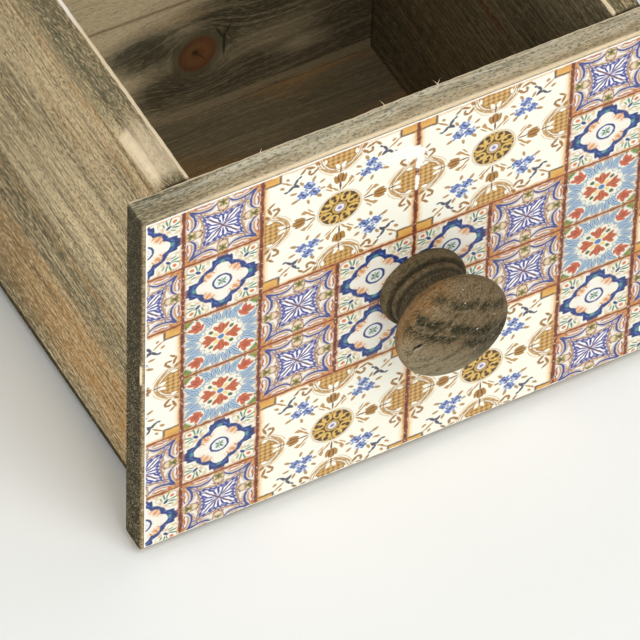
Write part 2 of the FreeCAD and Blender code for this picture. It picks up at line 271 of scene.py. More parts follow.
class Pine(Coat):
    """Rough-sawn pine under a thin grey-brown wipe-on stain, laid on coat by coat.

    The eye sees long pale and dark lines of the growth rings, blotches of warm brown and grey-green, dense
    short dark dashes and pale slivers of torn fibre, cream arrises where sanding broke through the stain, and
    ends that soaked up so much of it that they are nearly black.
    """

    def __init__(self, name, wood, grain, seed, knot=None):
        self.wood = wood
        self.material, tree, self.shader = new_material(name)
        super().__init__(tree, wood.khaki)
        place = add_node(tree, "ShaderNodeSeparateXYZ", None, {0: place_in_mm(tree)})
        self.x, self.y, self.z = fields_of(tree, place)
        marks = [add_node(tree, "ShaderNodeAttribute", {"attribute_name": mark}) for mark in ("wear", "end")]
        self.wear, self.end = (Field(tree, mark.outputs["Fac"]) for mark in marks)
        where = self.round_knot(knot) if knot else place_in_mm(tree, GRAIN_TURN[grain])
        where = shaken(tree, where, 40, (0.0, 5.0, 5.0))
        self.blotch = streaks(tree, where, 90, 14, 2, seed)
        self.patch = streaks(tree, where, 26, 5, 3, seed + 31)
        self.ring = streaks(tree, where, 90, 1.1, 4, seed + 7)
        self.stripe = streaks(tree, where, 190, 3.2, 2, seed + 41)
        self.fibre = streaks(tree, where, 1.3, 0.42, 2, seed + 13)
        self.sliver = streaks(tree, where, 2.6, 0.44, 2, seed + 19)
        self.lay(wood.warm, self.blotch.rise(0.50, 0.68) * 0.6)
        self.lay(wood.grey, self.patch.rise(0.52, 0.70) * 0.6)

    def round_knot(self, knot):
        """Grain along X that flows round a knot, as water flows round a post.

        Its height from the knot's middle shrinks by the squares of the radius over the distance.
        """
        centre, radius = knot
        across, up = self.x - centre[0], self.z - centre[1]
        room = (across * across + up * up).calc("MAXIMUM", radius ** 2)
        squeezed = up * (1 - room.calc("POWER", -1.0) * radius ** 2)
        inputs = {0: self.x, 1: self.y, 2: squeezed}
        return add_node(self.tree, "ShaderNodeCombineXYZ", None, inputs).outputs[0]

    def bands(self, level, rows):
        """Lay bands of colour along the grain: from, to, soft edge, colour and strength."""
        for low, high, soft, colour, strength in rows:
            self.lay(getattr(self.wood, colour), level.between(low, high, soft) * strength)

    def clouds(self, across, up, rows):
        """Lay ragged clouds of colour: centre, radii, colour and strength."""
        rough = self.patch.sway(0.9) + self.sliver.sway(0.35)
        for centre, radii, colour, strength in rows:
            mask = (oval(across, up, centre, radii) + rough).rise(1.35, 0.5)
            self.lay(getattr(self.wood, colour), mask * strength)

    def stripes(self, pale, dark):
        """Lay the long soft stripes of early and late wood."""
        self.lay(self.wood.pale, self.stripe.rise(0.52, 0.64) * pale)
        self.lay(self.wood.dark, self.stripe.rise(0.47, 0.36) * dark)

    def rings(self, pale, dark):
        """Lay the lines of the growth rings."""
        self.lay(self.wood.pale, self.ring.rise(0.53, 0.62) * pale)
        self.lay(self.wood.dark, self.ring.rise(0.46, 0.36) * dark)

    def bare(self, mask):
        """Bare wood where a mask says that sanding broke through the stain, ragged along the fibres."""
        ragged = (mask + self.sliver * 0.5 + self.ring * 0.5 - 0.5).rise(0.4, 0.65)
        self.lay(self.wood.raw, ragged * 0.95)

    def weather(self, mask):
        """Dark green-grey weathering with dense specks where a mask says."""
        self.lay(self.wood.grey, mask * 0.6)
        self.lay(self.wood.mould, self.patch.rise(0.56, 0.44) * mask * 0.3)
        self.lay(self.wood.mould, (self.patch * 0.7 + self.sliver).rise(0.86, 0.74) * mask * 0.4)
        self.lay(self.wood.pale, self.sliver.rise(0.54, 0.64) * mask * 0.4)
        self.lay(self.wood.dark, self.fibre.rise(0.48, 0.38) * mask * 0.5)

    def fibres(self, pale, dark):
        """Lay pale slivers and dark dashes of torn fibre."""
        self.lay(self.wood.pale, self.sliver.rise(0.52, 0.62) * pale)
        self.lay(self.wood.dark, self.fibre.rise(0.48, 0.38) * dark)

    def finish(self, chips=0.0):
        """Darken the ends, bare the wood of chips over them, and set gloss and relief."""
        mottle = self.sliver.sway(1.6) + self.fibre.sway(1.4) + self.patch.sway(0.5)
        speckle = mottle.rise(-0.02, 0.4) * (0.58 - self.z.rise(70.0, 115.0) * 0.3)
        self.lay(self.wood.end_grain, self.end * (1.0 - speckle))
        self.lay(self.wood.raw, chips)
        roughness = 0.92 - self.ring * 0.2
        height = self.ring * 0.4 + self.fibre * 0.35 + self.sliver * 0.25
        finish_shader(self.tree, self.shader, self, roughness, height, 0.35 * MM)
        self.shader.inputs["Specular IOR Level"].default_value = 0.1
        return self.material


# Bands along the drawer's left side: from, to and soft edge in millimetres of height, colour and strength.
LEFT_BANDS = (
    (3.0, 11.0, 4.0, "dark", 0.55), (12.0, 41.0, 4.0, "warm", 0.9), (42.0, 44.0, 0.8, "dark", 0.4),
    (45.5, 59.0, 1.6, "grey", 0.95), (46.0, 60.0, 3.0, "dark", 0.25), (58.0, 60.0, 0.6, "warm", 0.6),
    (64.0, 80.0, 3.0, "pale", 0.85), (83.0, 86.5, 1.4, "grey", 0.7), (90.0, 91.5, 0.8, "dark", 0.35),
    (97.0, 99.0, 0.8, "pale", 0.6), (112.0, 124.0, 4.0, "pale", 0.4), (126.0, 133.0, 3.0, "warm", 0.35),
)


def left_side_pine(wood):
    """The drawer's left side: orange heartwood low down, a grey-green band, paler wood above, a weathered top
    edge with a bare patch at its front, and a cream inner arris."""
    pine = Pine("stained_pine_left_side", wood, "Y", 2)
    level = pine.z + pine.blotch.sway(7) + pine.patch.sway(7)
    pine.stripes(0.3, 0.3)
    pine.bands(level, LEFT_BANDS)
    upper = level.rise(60.0, 68.0)
    pine.stripes(upper * 0.5, upper * 0.3 + 0.12)
    rear = (pine.y + pine.blotch.sway(40)).rise(-140.0, -90.0)
    pine.lay(wood.dark, rear * (level.rise(104.0, 88.0) * 0.36 + 0.26))
    pine.rings(0.5, 0.62)
    pine.fibres(0.75, 0.75)
    ragged = pine.patch.sway(24) + pine.fibre.sway(6)
    top = (pine.z + pine.patch.sway(16) + pine.fibre.sway(5)).rise(131.0, 136.0)
    pine.weather(top * (pine.y + ragged).rise(-162.0, -150.0))
    pine.weather(top * (pine.y + ragged * 0.4).rise(-180.5, -182.5) * pine.x.rise(-73.5, -72.5))
    outer = (pine.x + pine.patch.sway(3)).rise(-72.3, -72.8)
    front = (pine.y + ragged * 0.6).rise(-160.0, -170.0)
    pine.lay(wood.raw, pine.z.rise(137.6, 138.6) * front * pine.y.rise(-184.0, -181.0) * 0.5)
    facet = pine.z.rise(135.1, 135.9) * outer * (pine.y + ragged * 0.4).rise(-162.0, -164.0)
    pine.lay(wood.raw, facet * pine.y.rise(-185.0, -180.0) * 0.6)
    arris = pine.x.rise(-67.3, -66.5) * pine.z.rise(137.4, 138.4)
    pine.bare(arris * 0.9)
    pine.lay("#FFFAF0", arris * (pine.y + ragged * 0.3).rise(-124.0, -116.0) * 0.8)
    return pine.finish()


def right_side_pine(wood):
    """The drawer's right side: darkened below its top by painted shade, with a resin streak, a grey-tan top
    and a cream inner arris.
    """
    pine = Pine("stained_pine_right_side", wood, "Y", 11)
    # Painted shade: the faces below the top edge are darkened, as the inner face lies in shade.
    pine.lay(wood.dark, pine.z.rise(137.6, 136.6) * 0.6)
    pine.lay(wood.mould, pine.blotch.rise(0.42, 0.6) * 0.6)
    pine.rings(0.25, 0.6)
    wedge = line(pine.z, 80.3, 1.1, 0.8) * (pine.y + pine.patch.sway(20)).between(-134.0, -104.0, 8.0)
    pine.lay(wood.red, wedge * 0.8)
    pine.weather(pine.z.rise(137.0, 138.2) * pine.blotch.rise(0.4, 0.6))
    pine.fibres(0.35, 0.6)
    pine.bare(pine.x.rise(66.8, 66.2) * pine.z.rise(137.8, 138.6) * 0.9)
    return pine.finish()


# The knot in the drawer's back, across and up in millimetres, and how far out the grain flows round it.
KNOT_CENTRE, KNOT_RADII, KNOT_SWIRL = (6.6, 31.5), (6.4, 7.0), 9.0
# Clouds on the drawer's back round the knot: centre and radii in millimetres, colour and strength.
BACK_CLOUDS = (
    ((22.0, 43.0), (22.0, 11.0), "dark", 1.0), ((17.0, 35.0), (3.2, 9.0), "dark", 0.7),
    ((-12.0, 41.0), (15.0, 8.0), "mould", 0.95), ((-8.0, 38.0), (10.0, 7.0), "dark", 0.8),
    ((-4.0, 22.0), (12.0, 8.0), "dark", 0.85), ((14.0, 18.0), (26.0, 7.0), "dark", 0.75),
    ((35.0, 27.5), (13.0, 5.0), "khaki", 0.6), ((44.0, 20.0), (10.0, 3.0), "pale", 0.5),
    ((60.0, 24.0), (14.0, 16.0), "dark", 0.75),
)

# Cracks beside the knot: start, end and half width in millimetres.
BACK_CRACKS = (
    ((15.3, 27.0), (15.4, 37.0), 0.5), ((15.2, 34.0), (12.6, 39.6), 0.4), ((15.4, 35.0), (17.6, 39.4), 0.4),
)


def back_pine(wood):
    """The drawer's back: tan above a resin line, painted light on its left and painted shadow of the right
    side on its lower right, a red-brown knot in dark swirls, a pale strip below.
    """
    pine = Pine("stained_pine_back", wood, "X", 23, (KNOT_CENTRE, KNOT_SWIRL))
    # Painted light: a pale tan wash over the left of the back, where the lamp's light falls past the right
    # side.
    pine.lay("#EFDAAE", (pine.x + pine.blotch.sway(30)).rise(30.0, -20.0) * 0.9)
    # Painted shadow: darker towards the lower right, along a diagonal where the right side's shadow falls.
    pine.lay(wood.dark, (pine.x - pine.z + pine.blotch.sway(30)).rise(-45.0, 0.0) * 0.75)
    pine.clouds(pine.x, pine.z, BACK_CLOUDS)
    pine.rings(0.16, 0.2)
    pine.lay(wood.khaki, (pine.z + pine.patch.sway(3)).rise(10.2, 9.4) * 0.8)
    pine.lay(wood.end_grain, pine.z.rise(6.4, 5.6) * 0.7)
    pine.fibres(0.18, 0.25)
    resin = line(pine.z + pine.blotch.sway(3), 55.4, 0.4, 0.5)
    pine.lay(wood.red, resin * pine.x.rise(22.0, 4.0) * 0.75)
    knot = oval(pine.x, pine.z, KNOT_CENTRE, KNOT_RADII) + pine.patch.sway(0.25)
    pine.lay("#565139", knot.rise(1.5, 1.2) * 0.7)
    heart = knot.rise(1.1, 0.9)
    pine.lay(wood.red, heart * 0.85)
    shade = (pine.x - pine.z * 0.6 + pine.fibre.sway(12)).rise(-12.0, -22.0)
    pine.lay(wood.dark, shade * heart * 0.5)
    pine.lay(wood.warm, knot.between(0.3, 0.7, 0.2) * 0.2)
    crack = abs(pine.x + pine.z * 0.8 - (KNOT_CENTRE[0] + KNOT_CENTRE[1] * 0.8)).rise(0.5, 0.2)
    pine.lay(wood.end_grain, crack * knot.rise(0.7, 0.6) * pine.z.rise(33.5, 32.0) * 0.6)
    pine.lay(wood.end_grain, spot(pine.x, pine.z, (5.8, 32.4), (1.0, 1.1), 0.5) * 0.7)
    for start, end, half in BACK_CRACKS:
        pine.lay(wood.end_grain, brush(pine.x, pine.z, start, end, half) * 0.8)
    pine.bare(pine.wear * 0.8)
    return pine.finish()


def front_pine(wood):
    """The drawer's front: a weathered top edge with cream arrises, and dark soaked ends."""
    pine = Pine("stained_pine_front", wood, "X", 5)
    pine.rings(0.5, 0.5)
    top = pine.z.rise(137.9, 138.6)
    pine.lay("#C6C1AA", top * 0.6)
    pine.weather(top * (pine.patch * 1.4 + pine.blotch).rise(1.08, 1.34) * 0.55)
    pine.lay("#DDD8C4", top * pine.ring.rise(0.53, 0.62) * 0.5)
    pine.lay(wood.mould, top * pine.ring.rise(0.48, 0.42) * 0.5)
    ragged = pine.patch.sway(2.4) + pine.sliver.sway(1.2)
    pine.lay("#B39A72", top * (pine.y + ragged).rise(-189.5, -192.5) * 0.55)
    pine.lay(wood.mould, top * (pine.x + ragged * 4).rise(-56.0, -74.0) * 0.5)
    pine.lay("#DAD2B6", top * (pine.x + ragged * 4).between(-38.0, -12.0, 8.0) * 0.4)
    pine.fibres(0.6, 0.6)
    arris = (pine.y + ragged * 0.3).rise(-194.0, -194.5) * pine.x.rise(-76.0, -60.0)
    pine.lay(wood.raw, top * arris * 0.7)
    pine.lay(wood.raw, top * (pine.y + ragged * 0.6).rise(-187.0, -186.5) * 0.85)
    worn = pine.y.rise(-193.0, -188.0) * 0.35 + 0.5
    pine.bare(pine.wear * (pine.x + ragged * 4).rise(-80.0, -66.0) * worn)
    chip = pine.x.rise(-84.3, -84.7) * pine.y.rise(-194.1, -194.5)
    return pine.finish(chip * (pine.z + ragged).between(73.5, 81.5, 0.8))


def plain_pine(name, wood, grain, seed):
    """A plain board with cream arrises."""
    pine = Pine(name, wood, grain, seed)
    pine.lay(wood.pale, pine.blotch.rise(0.56, 0.60) * 0.6)
    pine.lay(wood.grey, pine.blotch.rise(0.46, 0.42) * 0.6)
    pine.lay(wood.warm, pine.patch.rise(0.54, 0.62) * 0.55)
    pine.stripes(0.5, 0.3)
    pine.rings(0.45, 0.45)
    pine.fibres(0.5, 0.5)
    pine.bare(pine.wear * 0.85)
    return pine.finish()


def thin_panel(name, wood, seed):
    """A thin panel under a darker brown stain, with tan patches."""
    pine = Pine(name, wood, "X", seed)
    pine.lay(wood.red, 0.12)
    pine.lay(wood.dark, 0.6)
    pine.lay(wood.dark, pine.blotch.rise(0.55, 0.35) * 0.3)
    pine.lay(wood.warm, (pine.blotch + pine.patch).rise(1.0, 1.3) * 0.5)
    pine.rings(0.1, 0.22)
    pine.fibres(0.1, 0.2)
    pine.bare((pine.wear + pine.patch - 0.5) * 0.7)
    return pine.finish()


def build_mesh(name, points, poles=None, fields=None):
    """Mesh a grid of points whose columns run round and close on themselves.

    A pole point closes each end, or without poles the rows close on themselves too, as on a ring. The faces
    are put in the order that makes the enclosed volume positive, so that they point outwards.
    """
    rows, columns = points.shape[:2]
    vertices = points.reshape(-1, 3)
    index = np.arange(rows * columns).reshape(rows, columns)
    if poles is None:
        index = np.concatenate([index, index[:1]])
    beside = np.roll(index, -1, axis=1)
    quads = np.stack([index[:-1], beside[:-1], beside[1:], index[1:]], axis=-1).reshape(-1, 4)
    caps = np.empty((0, 3), dtype=int)
    if poles is not None:
        vertices = np.concatenate([vertices, np.asarray(poles)])
        low_pole = np.full(columns, rows * columns)
        caps = np.concatenate([np.stack([low_pole, beside[0], index[0]], axis=-1),
                               np.stack([low_pole + 1, index[-1], beside[-1]], axis=-1)])
    halves = np.concatenate([quads[:, [0, 1, 2]], quads[:, [0, 2, 3]], caps])
    first, second, third = (vertices[halves[:, corner]] for corner in range(3))
    if np.einsum("ij,ij->", first, np.cross(second, third)) < 0:
        quads, caps = quads[:, ::-1], caps[:, ::-1]
    corners = np.concatenate([quads.ravel(), caps.ravel()])
    starts = np.concatenate([np.arange(len(quads)) * 4, len(quads) * 4 + np.arange(len(caps)) * 3])
    mesh = bpy.data.meshes.new(name)
    mesh.vertices.add(len(vertices))
    mesh.vertices.foreach_set("co", vertices.ravel().astype(np.float32))
    mesh.loops.add(len(corners))
    mesh.loops.foreach_set("vertex_index", corners.astype(np.int32))
    mesh.polygons.add(len(starts))
    mesh.polygons.foreach_set("loop_start", starts.astype(np.int32))
    mesh.polygons.foreach_set("use_smooth", np.ones(len(starts), dtype=bool))
    mesh.update(calc_edges=True)
    for key, values in (fields or {}).items():
        padded = np.concatenate([values.ravel(), values[0, :1], values[-1, :1]])
        mesh.attributes.new(key, "FLOAT", "POINT").data.foreach_set("value", padded.astype(np.float32))
    piece = bpy.data.objects.new(name, mesh)
    bpy.context.scene.collection.objects.link(piece)
    return piece


def settle(piece, material, body, slot, *nodes):
    """Give a piece its material and body, and let it stand for its CAD nodes. The slot is not used."""
    piece.data.materials.append(material)
    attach(piece, body)
    if nodes:
        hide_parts(*nodes)


def circle(count):
    """Angles of points spread evenly round a full turn."""
    return np.linspace(0, 2 * np.pi, count, endpoint=False)


def round_y(centre, radius, height, turn):
    """Points at a radius and a turn about an axis along Y through a centre, at the given heights along Y."""
    return np.stack([centre[0] + radius * np.cos(turn), height, centre[2] + radius * np.sin(turn)], axis=-1)


def wander(stations, rng, lengths):
    """A gentle wave along a board: sines of the given lengths with chance phases, between -1 and 1."""
    phases = rng.uniform(0, 2 * np.pi, len(lengths))
    return np.sin(2 * np.pi * stations[:, None] / np.asarray(lengths) + phases).mean(axis=1)


# Shares of a board's face and of its edge where mesh columns stand, closer together beside the arrises.
FACE_SHARES = (0.004, 0.012, 0.03, 0.07, 0.15, 0.3, 0.5, 0.7, 0.85, 0.93, 0.97, 0.988, 0.996)
EDGE_SHARES = (0.06, 0.2, 0.5, 0.8, 0.94)
CORNER_SIGNS = np.array([(1, 1), (-1, 1), (-1, -1), (1, -1)])
ARC_STEPS = 7
# How worn an arris is at its sides and how much more in its middle.
SIDE_WEAR, MIDDLE_WEAR = 0.4, 0.6
# How far a board's flat ends reach at their mesh rows.
CAP_SHARES = np.array([0.85, 0.5, 0.15])
# How round a board's ends are, as a share of its arris, and in how many rows.
END_SHARE, END_ROWS = 0.6, 5
# How long the waves of an arris are in metres, its mean and swing as shares, and its least and greatest
# radius as shares of the arris and of the board's thickness.
WAVE_LENGTHS = (0.061, 0.023, 0.0091, 0.0043)
ARRIS_MEAN, ARRIS_SWING, LEAST_ARRIS, GREATEST_ARRIS = 0.85, 0.3, 0.3, 0.45
# How many nicks an arris has, how long they are in millimetres and how deep as shares of the arris.
NICKS, NICK_REACH, NICK_DEPTH = 4, (2.0, 7.0), (0.1, 0.4)
EVEN_CORNERS = (1.0, 1.0, 1.0, 1.0)


def board_columns():
    """The columns round a board: two corners and the share between them, the way that the surface faces, and
    how bent it is."""
    columns = []
    for corner in range(4):
        turn = corner * math.pi / 2
        for step in range(ARC_STEPS):
            share = step / (ARC_STEPS - 1)
            bent = SIDE_WEAR + MIDDLE_WEAR * math.sin(share * math.pi)
            columns.append((corner, corner, 0.0, turn + share * math.pi / 2, bent))
        for share in EDGE_SHARES if corner % 2 else FACE_SHARES:
            columns.append((corner, (corner + 1) % 4, share, turn + math.pi / 2, 0.0))
    return np.array(columns).T


def worn_board(name, low, high, axes, arris, wood, seed, corners=EVEN_CORNERS):
    """A board with sanded, nicked arrises. The axes are those of its length, its width and its thickness.

    Across the grain the profile is a rectangle with a quarter circle at each corner. The circle's radius
    wanders along the board about the arris, times that corner's share, and grows by a long low bell at each
    nick. At the ends the profile draws in by a quarter circle and then shrinks to a point.
    """
    order = ["XYZ".index(axis) for axis in axes]
    length, width, thick = ((high - low) - 2 * wood.inset)[order]
    rng = np.random.default_rng(seed)
    rounding = END_SHARE * arris
    bend = rounding * (1 - np.cos(np.linspace(0, np.pi / 2, END_ROWS)))
    middle = np.linspace(rounding, length - rounding, int(length / wood.step))
    stations = np.concatenate([bend[:-1], middle, length - bend[:-1][::-1]])
    near_end = np.clip(np.minimum(stations, length - stations), 0, rounding)
    drawn_in = rounding - np.sqrt(rounding ** 2 - (rounding - near_end) ** 2)
    radii = np.empty((len(stations), 4))
    for corner, share in enumerate(corners):
        wave = wander(stations, rng, WAVE_LENGTHS)
        nicks = rng.uniform(0, length, NICKS)
        reach = rng.uniform(*NICK_REACH, NICKS) * MM
        depth = rng.uniform(*NICK_DEPTH, NICKS) * arris
        bells = (depth * np.exp(-((stations[:, None] - nicks) / reach) ** 2)).sum(axis=1)
        worn = arris * share * (ARRIS_MEAN + ARRIS_SWING * wave) + bells
        radii[:, corner] = np.clip(worn, LEAST_ARRIS * arris, GREATEST_ARRIS * thick)
    first, second, share, facing, bent = board_columns()
    first, second = first.astype(int), second.astype(int)
    core = CORNER_SIGNS * (np.array([width, thick]) / 2 - radii[:, :, None])
    radius = radii[:, first] * (1 - share) + radii[:, second] * share
    seat = core[:, first] * (1 - share)[:, None] + core[:, second] * share[:, None]
    section = seat + radius[..., None] * np.stack([np.cos(facing), np.sin(facing)], axis=-1)
    section *= 1 - drawn_in[:, None, None] / (np.array([width, thick]) / 2)
    section = np.concatenate([section[:1] * CAP_SHARES[::-1, None, None], section,
                              section[-1:] * CAP_SHARES[:, None, None]])
    caps = len(CAP_SHARES)
    stations = np.concatenate([np.zeros(caps), stations, np.full(caps, length)])
    points = np.empty((*section.shape[:2], 3))
    centre = (low + high) / 2
    places = ((stations - length / 2)[:, None], section[..., 0], section[..., 1])
    for axis, place in zip(order, places):
        points[..., axis] = centre[axis] + place
    poles = np.tile(centre, (2, 1))
    poles[:, order[0]] += (-length / 2, length / 2)
    end = np.concatenate([np.ones(caps), 1 - near_end / rounding, np.ones(caps)])[:, None]
    sanded = np.pad(np.tile(bent, (len(radii), 1)), ((caps, caps), (0, 0)))
    return build_mesh(name, points, poles, {"wear": sanded * (1 - end), "end": end * np.ones_like(sanded)})


def node_box(node):
    """A node's lowest and highest corner as arrays."""
    return [np.array(corner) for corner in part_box(node)]


class CADDY_OT_drawer_boards(bpy.types.Operator):
    """Make the drawer's front, sides and back as worn pine boards"""
    bl_idname = "caddy.drawer_boards"
    bl_label = "Drawer boards"

    def execute(self, context):
        wood = context.scene.caddy_wood
        looks = {
            "drawer_front_board": ("XZY", 5, front_pine, (0.9, 1.0, 0.7, 0.45)),
            "drawer_left_side": ("YZX", 2, left_side_pine, (0.8, 0.4, 0.4, 2.2)),
            "drawer_right_side": ("YZX", 11, right_side_pine, (1.4, 0.4, 0.4, 0.8)),
            "drawer_back": ("XZY", 23, back_pine, EVEN_CORNERS),
        }
        for node, (axes, seed, look, corners) in looks.items():
            piece = worn_board(f"{node}_wood", *node_box(node), axes, wood.arris, wood, seed, corners)
            settle(piece, look(wood), "drawer", "stained_pine_drawer", node)
        return {"FINISHED"}


class CADDY_OT_case_boards(bpy.types.Operator):
    """Make the case's sides, top and back as worn pine boards"""
    bl_idname = "caddy.case_boards"
    bl_label = "Case boards"

    def execute(self, context):
        wood = context.scene.caddy_wood
        looks = {
            "case_left_side": ("ZYX", 41),
            "case_right_side": ("ZYX", 43),
            "case_top": ("XYZ", 47),
            "case_back": ("XZY", 53),
        }
        for node, (axes, seed) in looks.items():
            piece = worn_board(f"{node}_wood", *node_box(node), axes, wood.arris, wood, seed)
            look = plain_pine(f"stained_pine_{node}", wood, axes[0], seed)
            settle(piece, look, "case", "stained_pine_case", node)
        return {"FINISHED"}


class CADDY_OT_panels(bpy.types.Operator):
    """Make the drawer's bottom and the case's base as thin stained panels"""
    bl_idname = "caddy.panels"
    bl_label = "Thin panels"

    def execute(self, context):
        wood = context.scene.caddy_wood
        for node, body, seed in (("drawer_bottom", "drawer", 61), ("case_base", "case", 67)):
            piece = worn_board(f"{node}_panel", *node_box(node), "XYZ", wood.panel_arris, wood, seed)
            settle(piece, thin_panel(f"stained_plywood_{node}", wood, seed), body, "stained_plywood", node)
        return {"FINISHED"}


# Splinters at the back of the front's top edge: root and tip in millimetres.
SPLINTERS = (
    ((-6.2, -186.9, 138.6), (-7.4, -185.2, 140.1)), ((9.6, -186.9, 138.6), (11.4, -185.4, 140.0)),
    ((10.4, -186.9, 138.7), (9.2, -185.0, 139.8)), ((-45.0, -186.9, 138.7), (-43.6, -185.6, 139.7)),
)
SPLINTER_RADIUS, SPLINTER_BEND = 0.16 * MM, 0.2 * MM
SPLINTER_ROWS, SPLINTER_COLUMNS = 9, 8
# How thick a splinter is for its width, and where its last row stands before the tip.
SPLINTER_FLATNESS, SPLINTER_LAST = 0.6, 0.96


def splinter_points(root, tip):
    """A splinter: flat ovals along the way from root to tip, which bends and thins out to a point."""
    share = np.linspace(0, SPLINTER_LAST, SPLINTER_ROWS)[:, None, None]
    turn = circle(SPLINTER_COLUMNS)[None, :, None]
    root, tip = np.array(root) * MM, np.array(tip) * MM
    side = np.cross(tip - root, (0.0, 0.0, 1.0))
    side /= np.linalg.norm(side)
    lift = np.cross(side, tip - root)
    lift /= np.linalg.norm(lift)
    spine = root + (tip - root) * share + lift * np.sin(np.pi * share) * SPLINTER_BEND
    ring = side * np.cos(turn) + lift * np.sin(turn) * SPLINTER_FLATNESS
    return spine + ring * SPLINTER_RADIUS * (1 - share), [root, tip]


class CADDY_OT_splinters(bpy.types.Operator):
    """Raise a few splinters along the drawer front's top edge"""
    bl_idname = "caddy.splinters"
    bl_label = "Splinters"

    def execute(self, context):
        material, _, shader = new_material("raw_pine_fibre")
        shader.inputs["Base Color"].default_value = context.scene.caddy_wood.raw
        shader.inputs["Roughness"].default_value = 0.8
        for number, (root, tip) in enumerate(SPLINTERS, 1):
            piece = build_mesh(f"front_splinter_{number}", *splinter_points(root, tip))
            settle(piece, material, "drawer", "stained_pine_drawer")
        return {"FINISHED"}


def folded(u, v):
    """Fold a square motif on its mirror lines: the larger and the smaller distance from the middle, the
    distances along and off the diagonal, and the radius."""
    near, far = u.calc("MINIMUM", v), u.calc("MAXIMUM", v)
    half_root = math.sqrt(0.5)
    return far, near, (far + near) * half_root, (far - near) * half_root, distance(u, v)


def brush(u, v, start, end, half, soft=0.5):
    """A brush stroke as a mask: a slim ellipse from one point to another, of the given half width."""
    way = (end[0] - start[0], end[1] - start[1])
    reach = math.hypot(*way) / 2
    middle = ((start[0] + end[0]) / 2, (start[1] + end[1]) / 2)
    across, up = way[0] / 2 / reach ** 2, way[1] / 2 / reach ** 2
    side = (-way[1] / 2 / reach / half, way[0] / 2 / reach / half)
    along = u.calc("MULTIPLY_ADD", across, v * up - (middle[0] * across + middle[1] * up))
    beside = u.calc("MULTIPLY_ADD", side[0], v * side[1] - (middle[0] * side[0] + middle[1] * side[1]))
    return (along * along + beside * beside).rise(1 + soft, 1 - soft)


def paint(coat, u, v, colour, strokes, soft=0.5):
    """Lay brush strokes of one colour: start, end and half width of each, in hundredths of half a tile."""
    for stroke in strokes:
        *ends, half = (number / 100 for number in stroke)
        coat.lay(colour, brush(u, v, ends[:2], ends[2:], half, soft))


def ring_tile(tree, u, v):
    """White tile with a navy ring, a scalloped frame of four arches, orange feathers and corner flowers."""
    far, near, diagonal, off, radius = folded(u, v)
    slope = near.calc("DIVIDE", far)
    coat = Coat(tree, "#F9F4E6")
    hatch = (slope * 30.0 + radius * 9.0).calc("SINE").rise(-0.7, 0.5)
    coat.lay("#EAB077", spot(diagonal, off, (0.55, 0.0), (0.16, 0.24), 0.4) * hatch)
    paint(coat, far, near, "#E0995A", [(30, 27, 47, 44, 2.4), (39, 18, 48, 30, 2.4)])
    coat.lay("#E5C69A", spot(far, near, (0.62, 0.47), (0.06, 0.045), 0.5))
    coat.lay("#E8D3A4", spot(far, near, (0.84, 0.38), (0.07, 0.045), 0.5))
    coat.lay("#B9AE8C", line(oval(far, near, (0.80, 0.42), (0.13, 0.09)), 1.0, 0.07, 0.1) * 0.7)
    scallop = (near * 34.0 - far * 12.0).calc("SINE") * near.rise(0.0, 0.12) * 0.08
    outer = oval(far, near, (0.50, 0.0), (0.46, 0.31)) + scallop
    inner = oval(far, near, (0.40, 0.0), (0.27, 0.225))
    coat.lay("#263D7C", outer.rise(1.05, 0.97) * inner.rise(0.97, 1.05) * far.rise(0.46, 0.49))
    paint(coat, far, near, "#263D7C", [(60, 22, 45, 50, 6)])
    coat.lay("#17275A", line(outer, 0.90, 0.05, 0.06) * inner.rise(1.1, 1.2) * far.rise(0.55, 0.6) * 0.7)
    paint(coat, far, near, "#4E6FB4", [(78, 10, 66, 20, 2), (66, 25, 56, 27, 2)])
    coat.lay("#5E9C98", spot(far, near, (0.72, 0.0), (0.05, 0.07), 0.5))
    coat.lay("#17275A", spot(far, near, (0.86, 0.0), (0.06, 0.04), 0.4))
    corner = oval(diagonal, off, (1.10, 0.0), (0.15, 0.13))
    coat.lay("#B99F70", line(corner, 1.0, 0.09, 0.1) * 0.9)
    paint(coat, diagonal, off, "#5F8F72", [(90, 6, 104, 27, 2.6), (94, 5, 124, 22, 2.2)])
    paint(coat, diagonal, off, "#7F9A5A", [(110, 27, 130, 16, 3), (84, 10, 90, 26, 2)])
    coat.lay("#DE7E45", corner.rise(0.5, 0.3))
    coat.lay("#EDBE74", spot(far, near, (0.95, 0.62), (0.035, 0.1), 0.5))
    paint(coat, diagonal, off, "#22397A", [(79, 0, 95, 0, 4.5)])
    coat.lay("#F1F2EE", radius.rise(0.23, 0.20))
    coat.lay("#22397A", line(radius, 0.228, 0.028, 0.012))
    paint(coat, diagonal, off, "#557F60", [(1, 0, 14, 0, 2.8)])
    coat.lay("#8FA88A", spot(far, near, (0.09, 0.0), (0.04, 0.015), 0.5))
    return coat


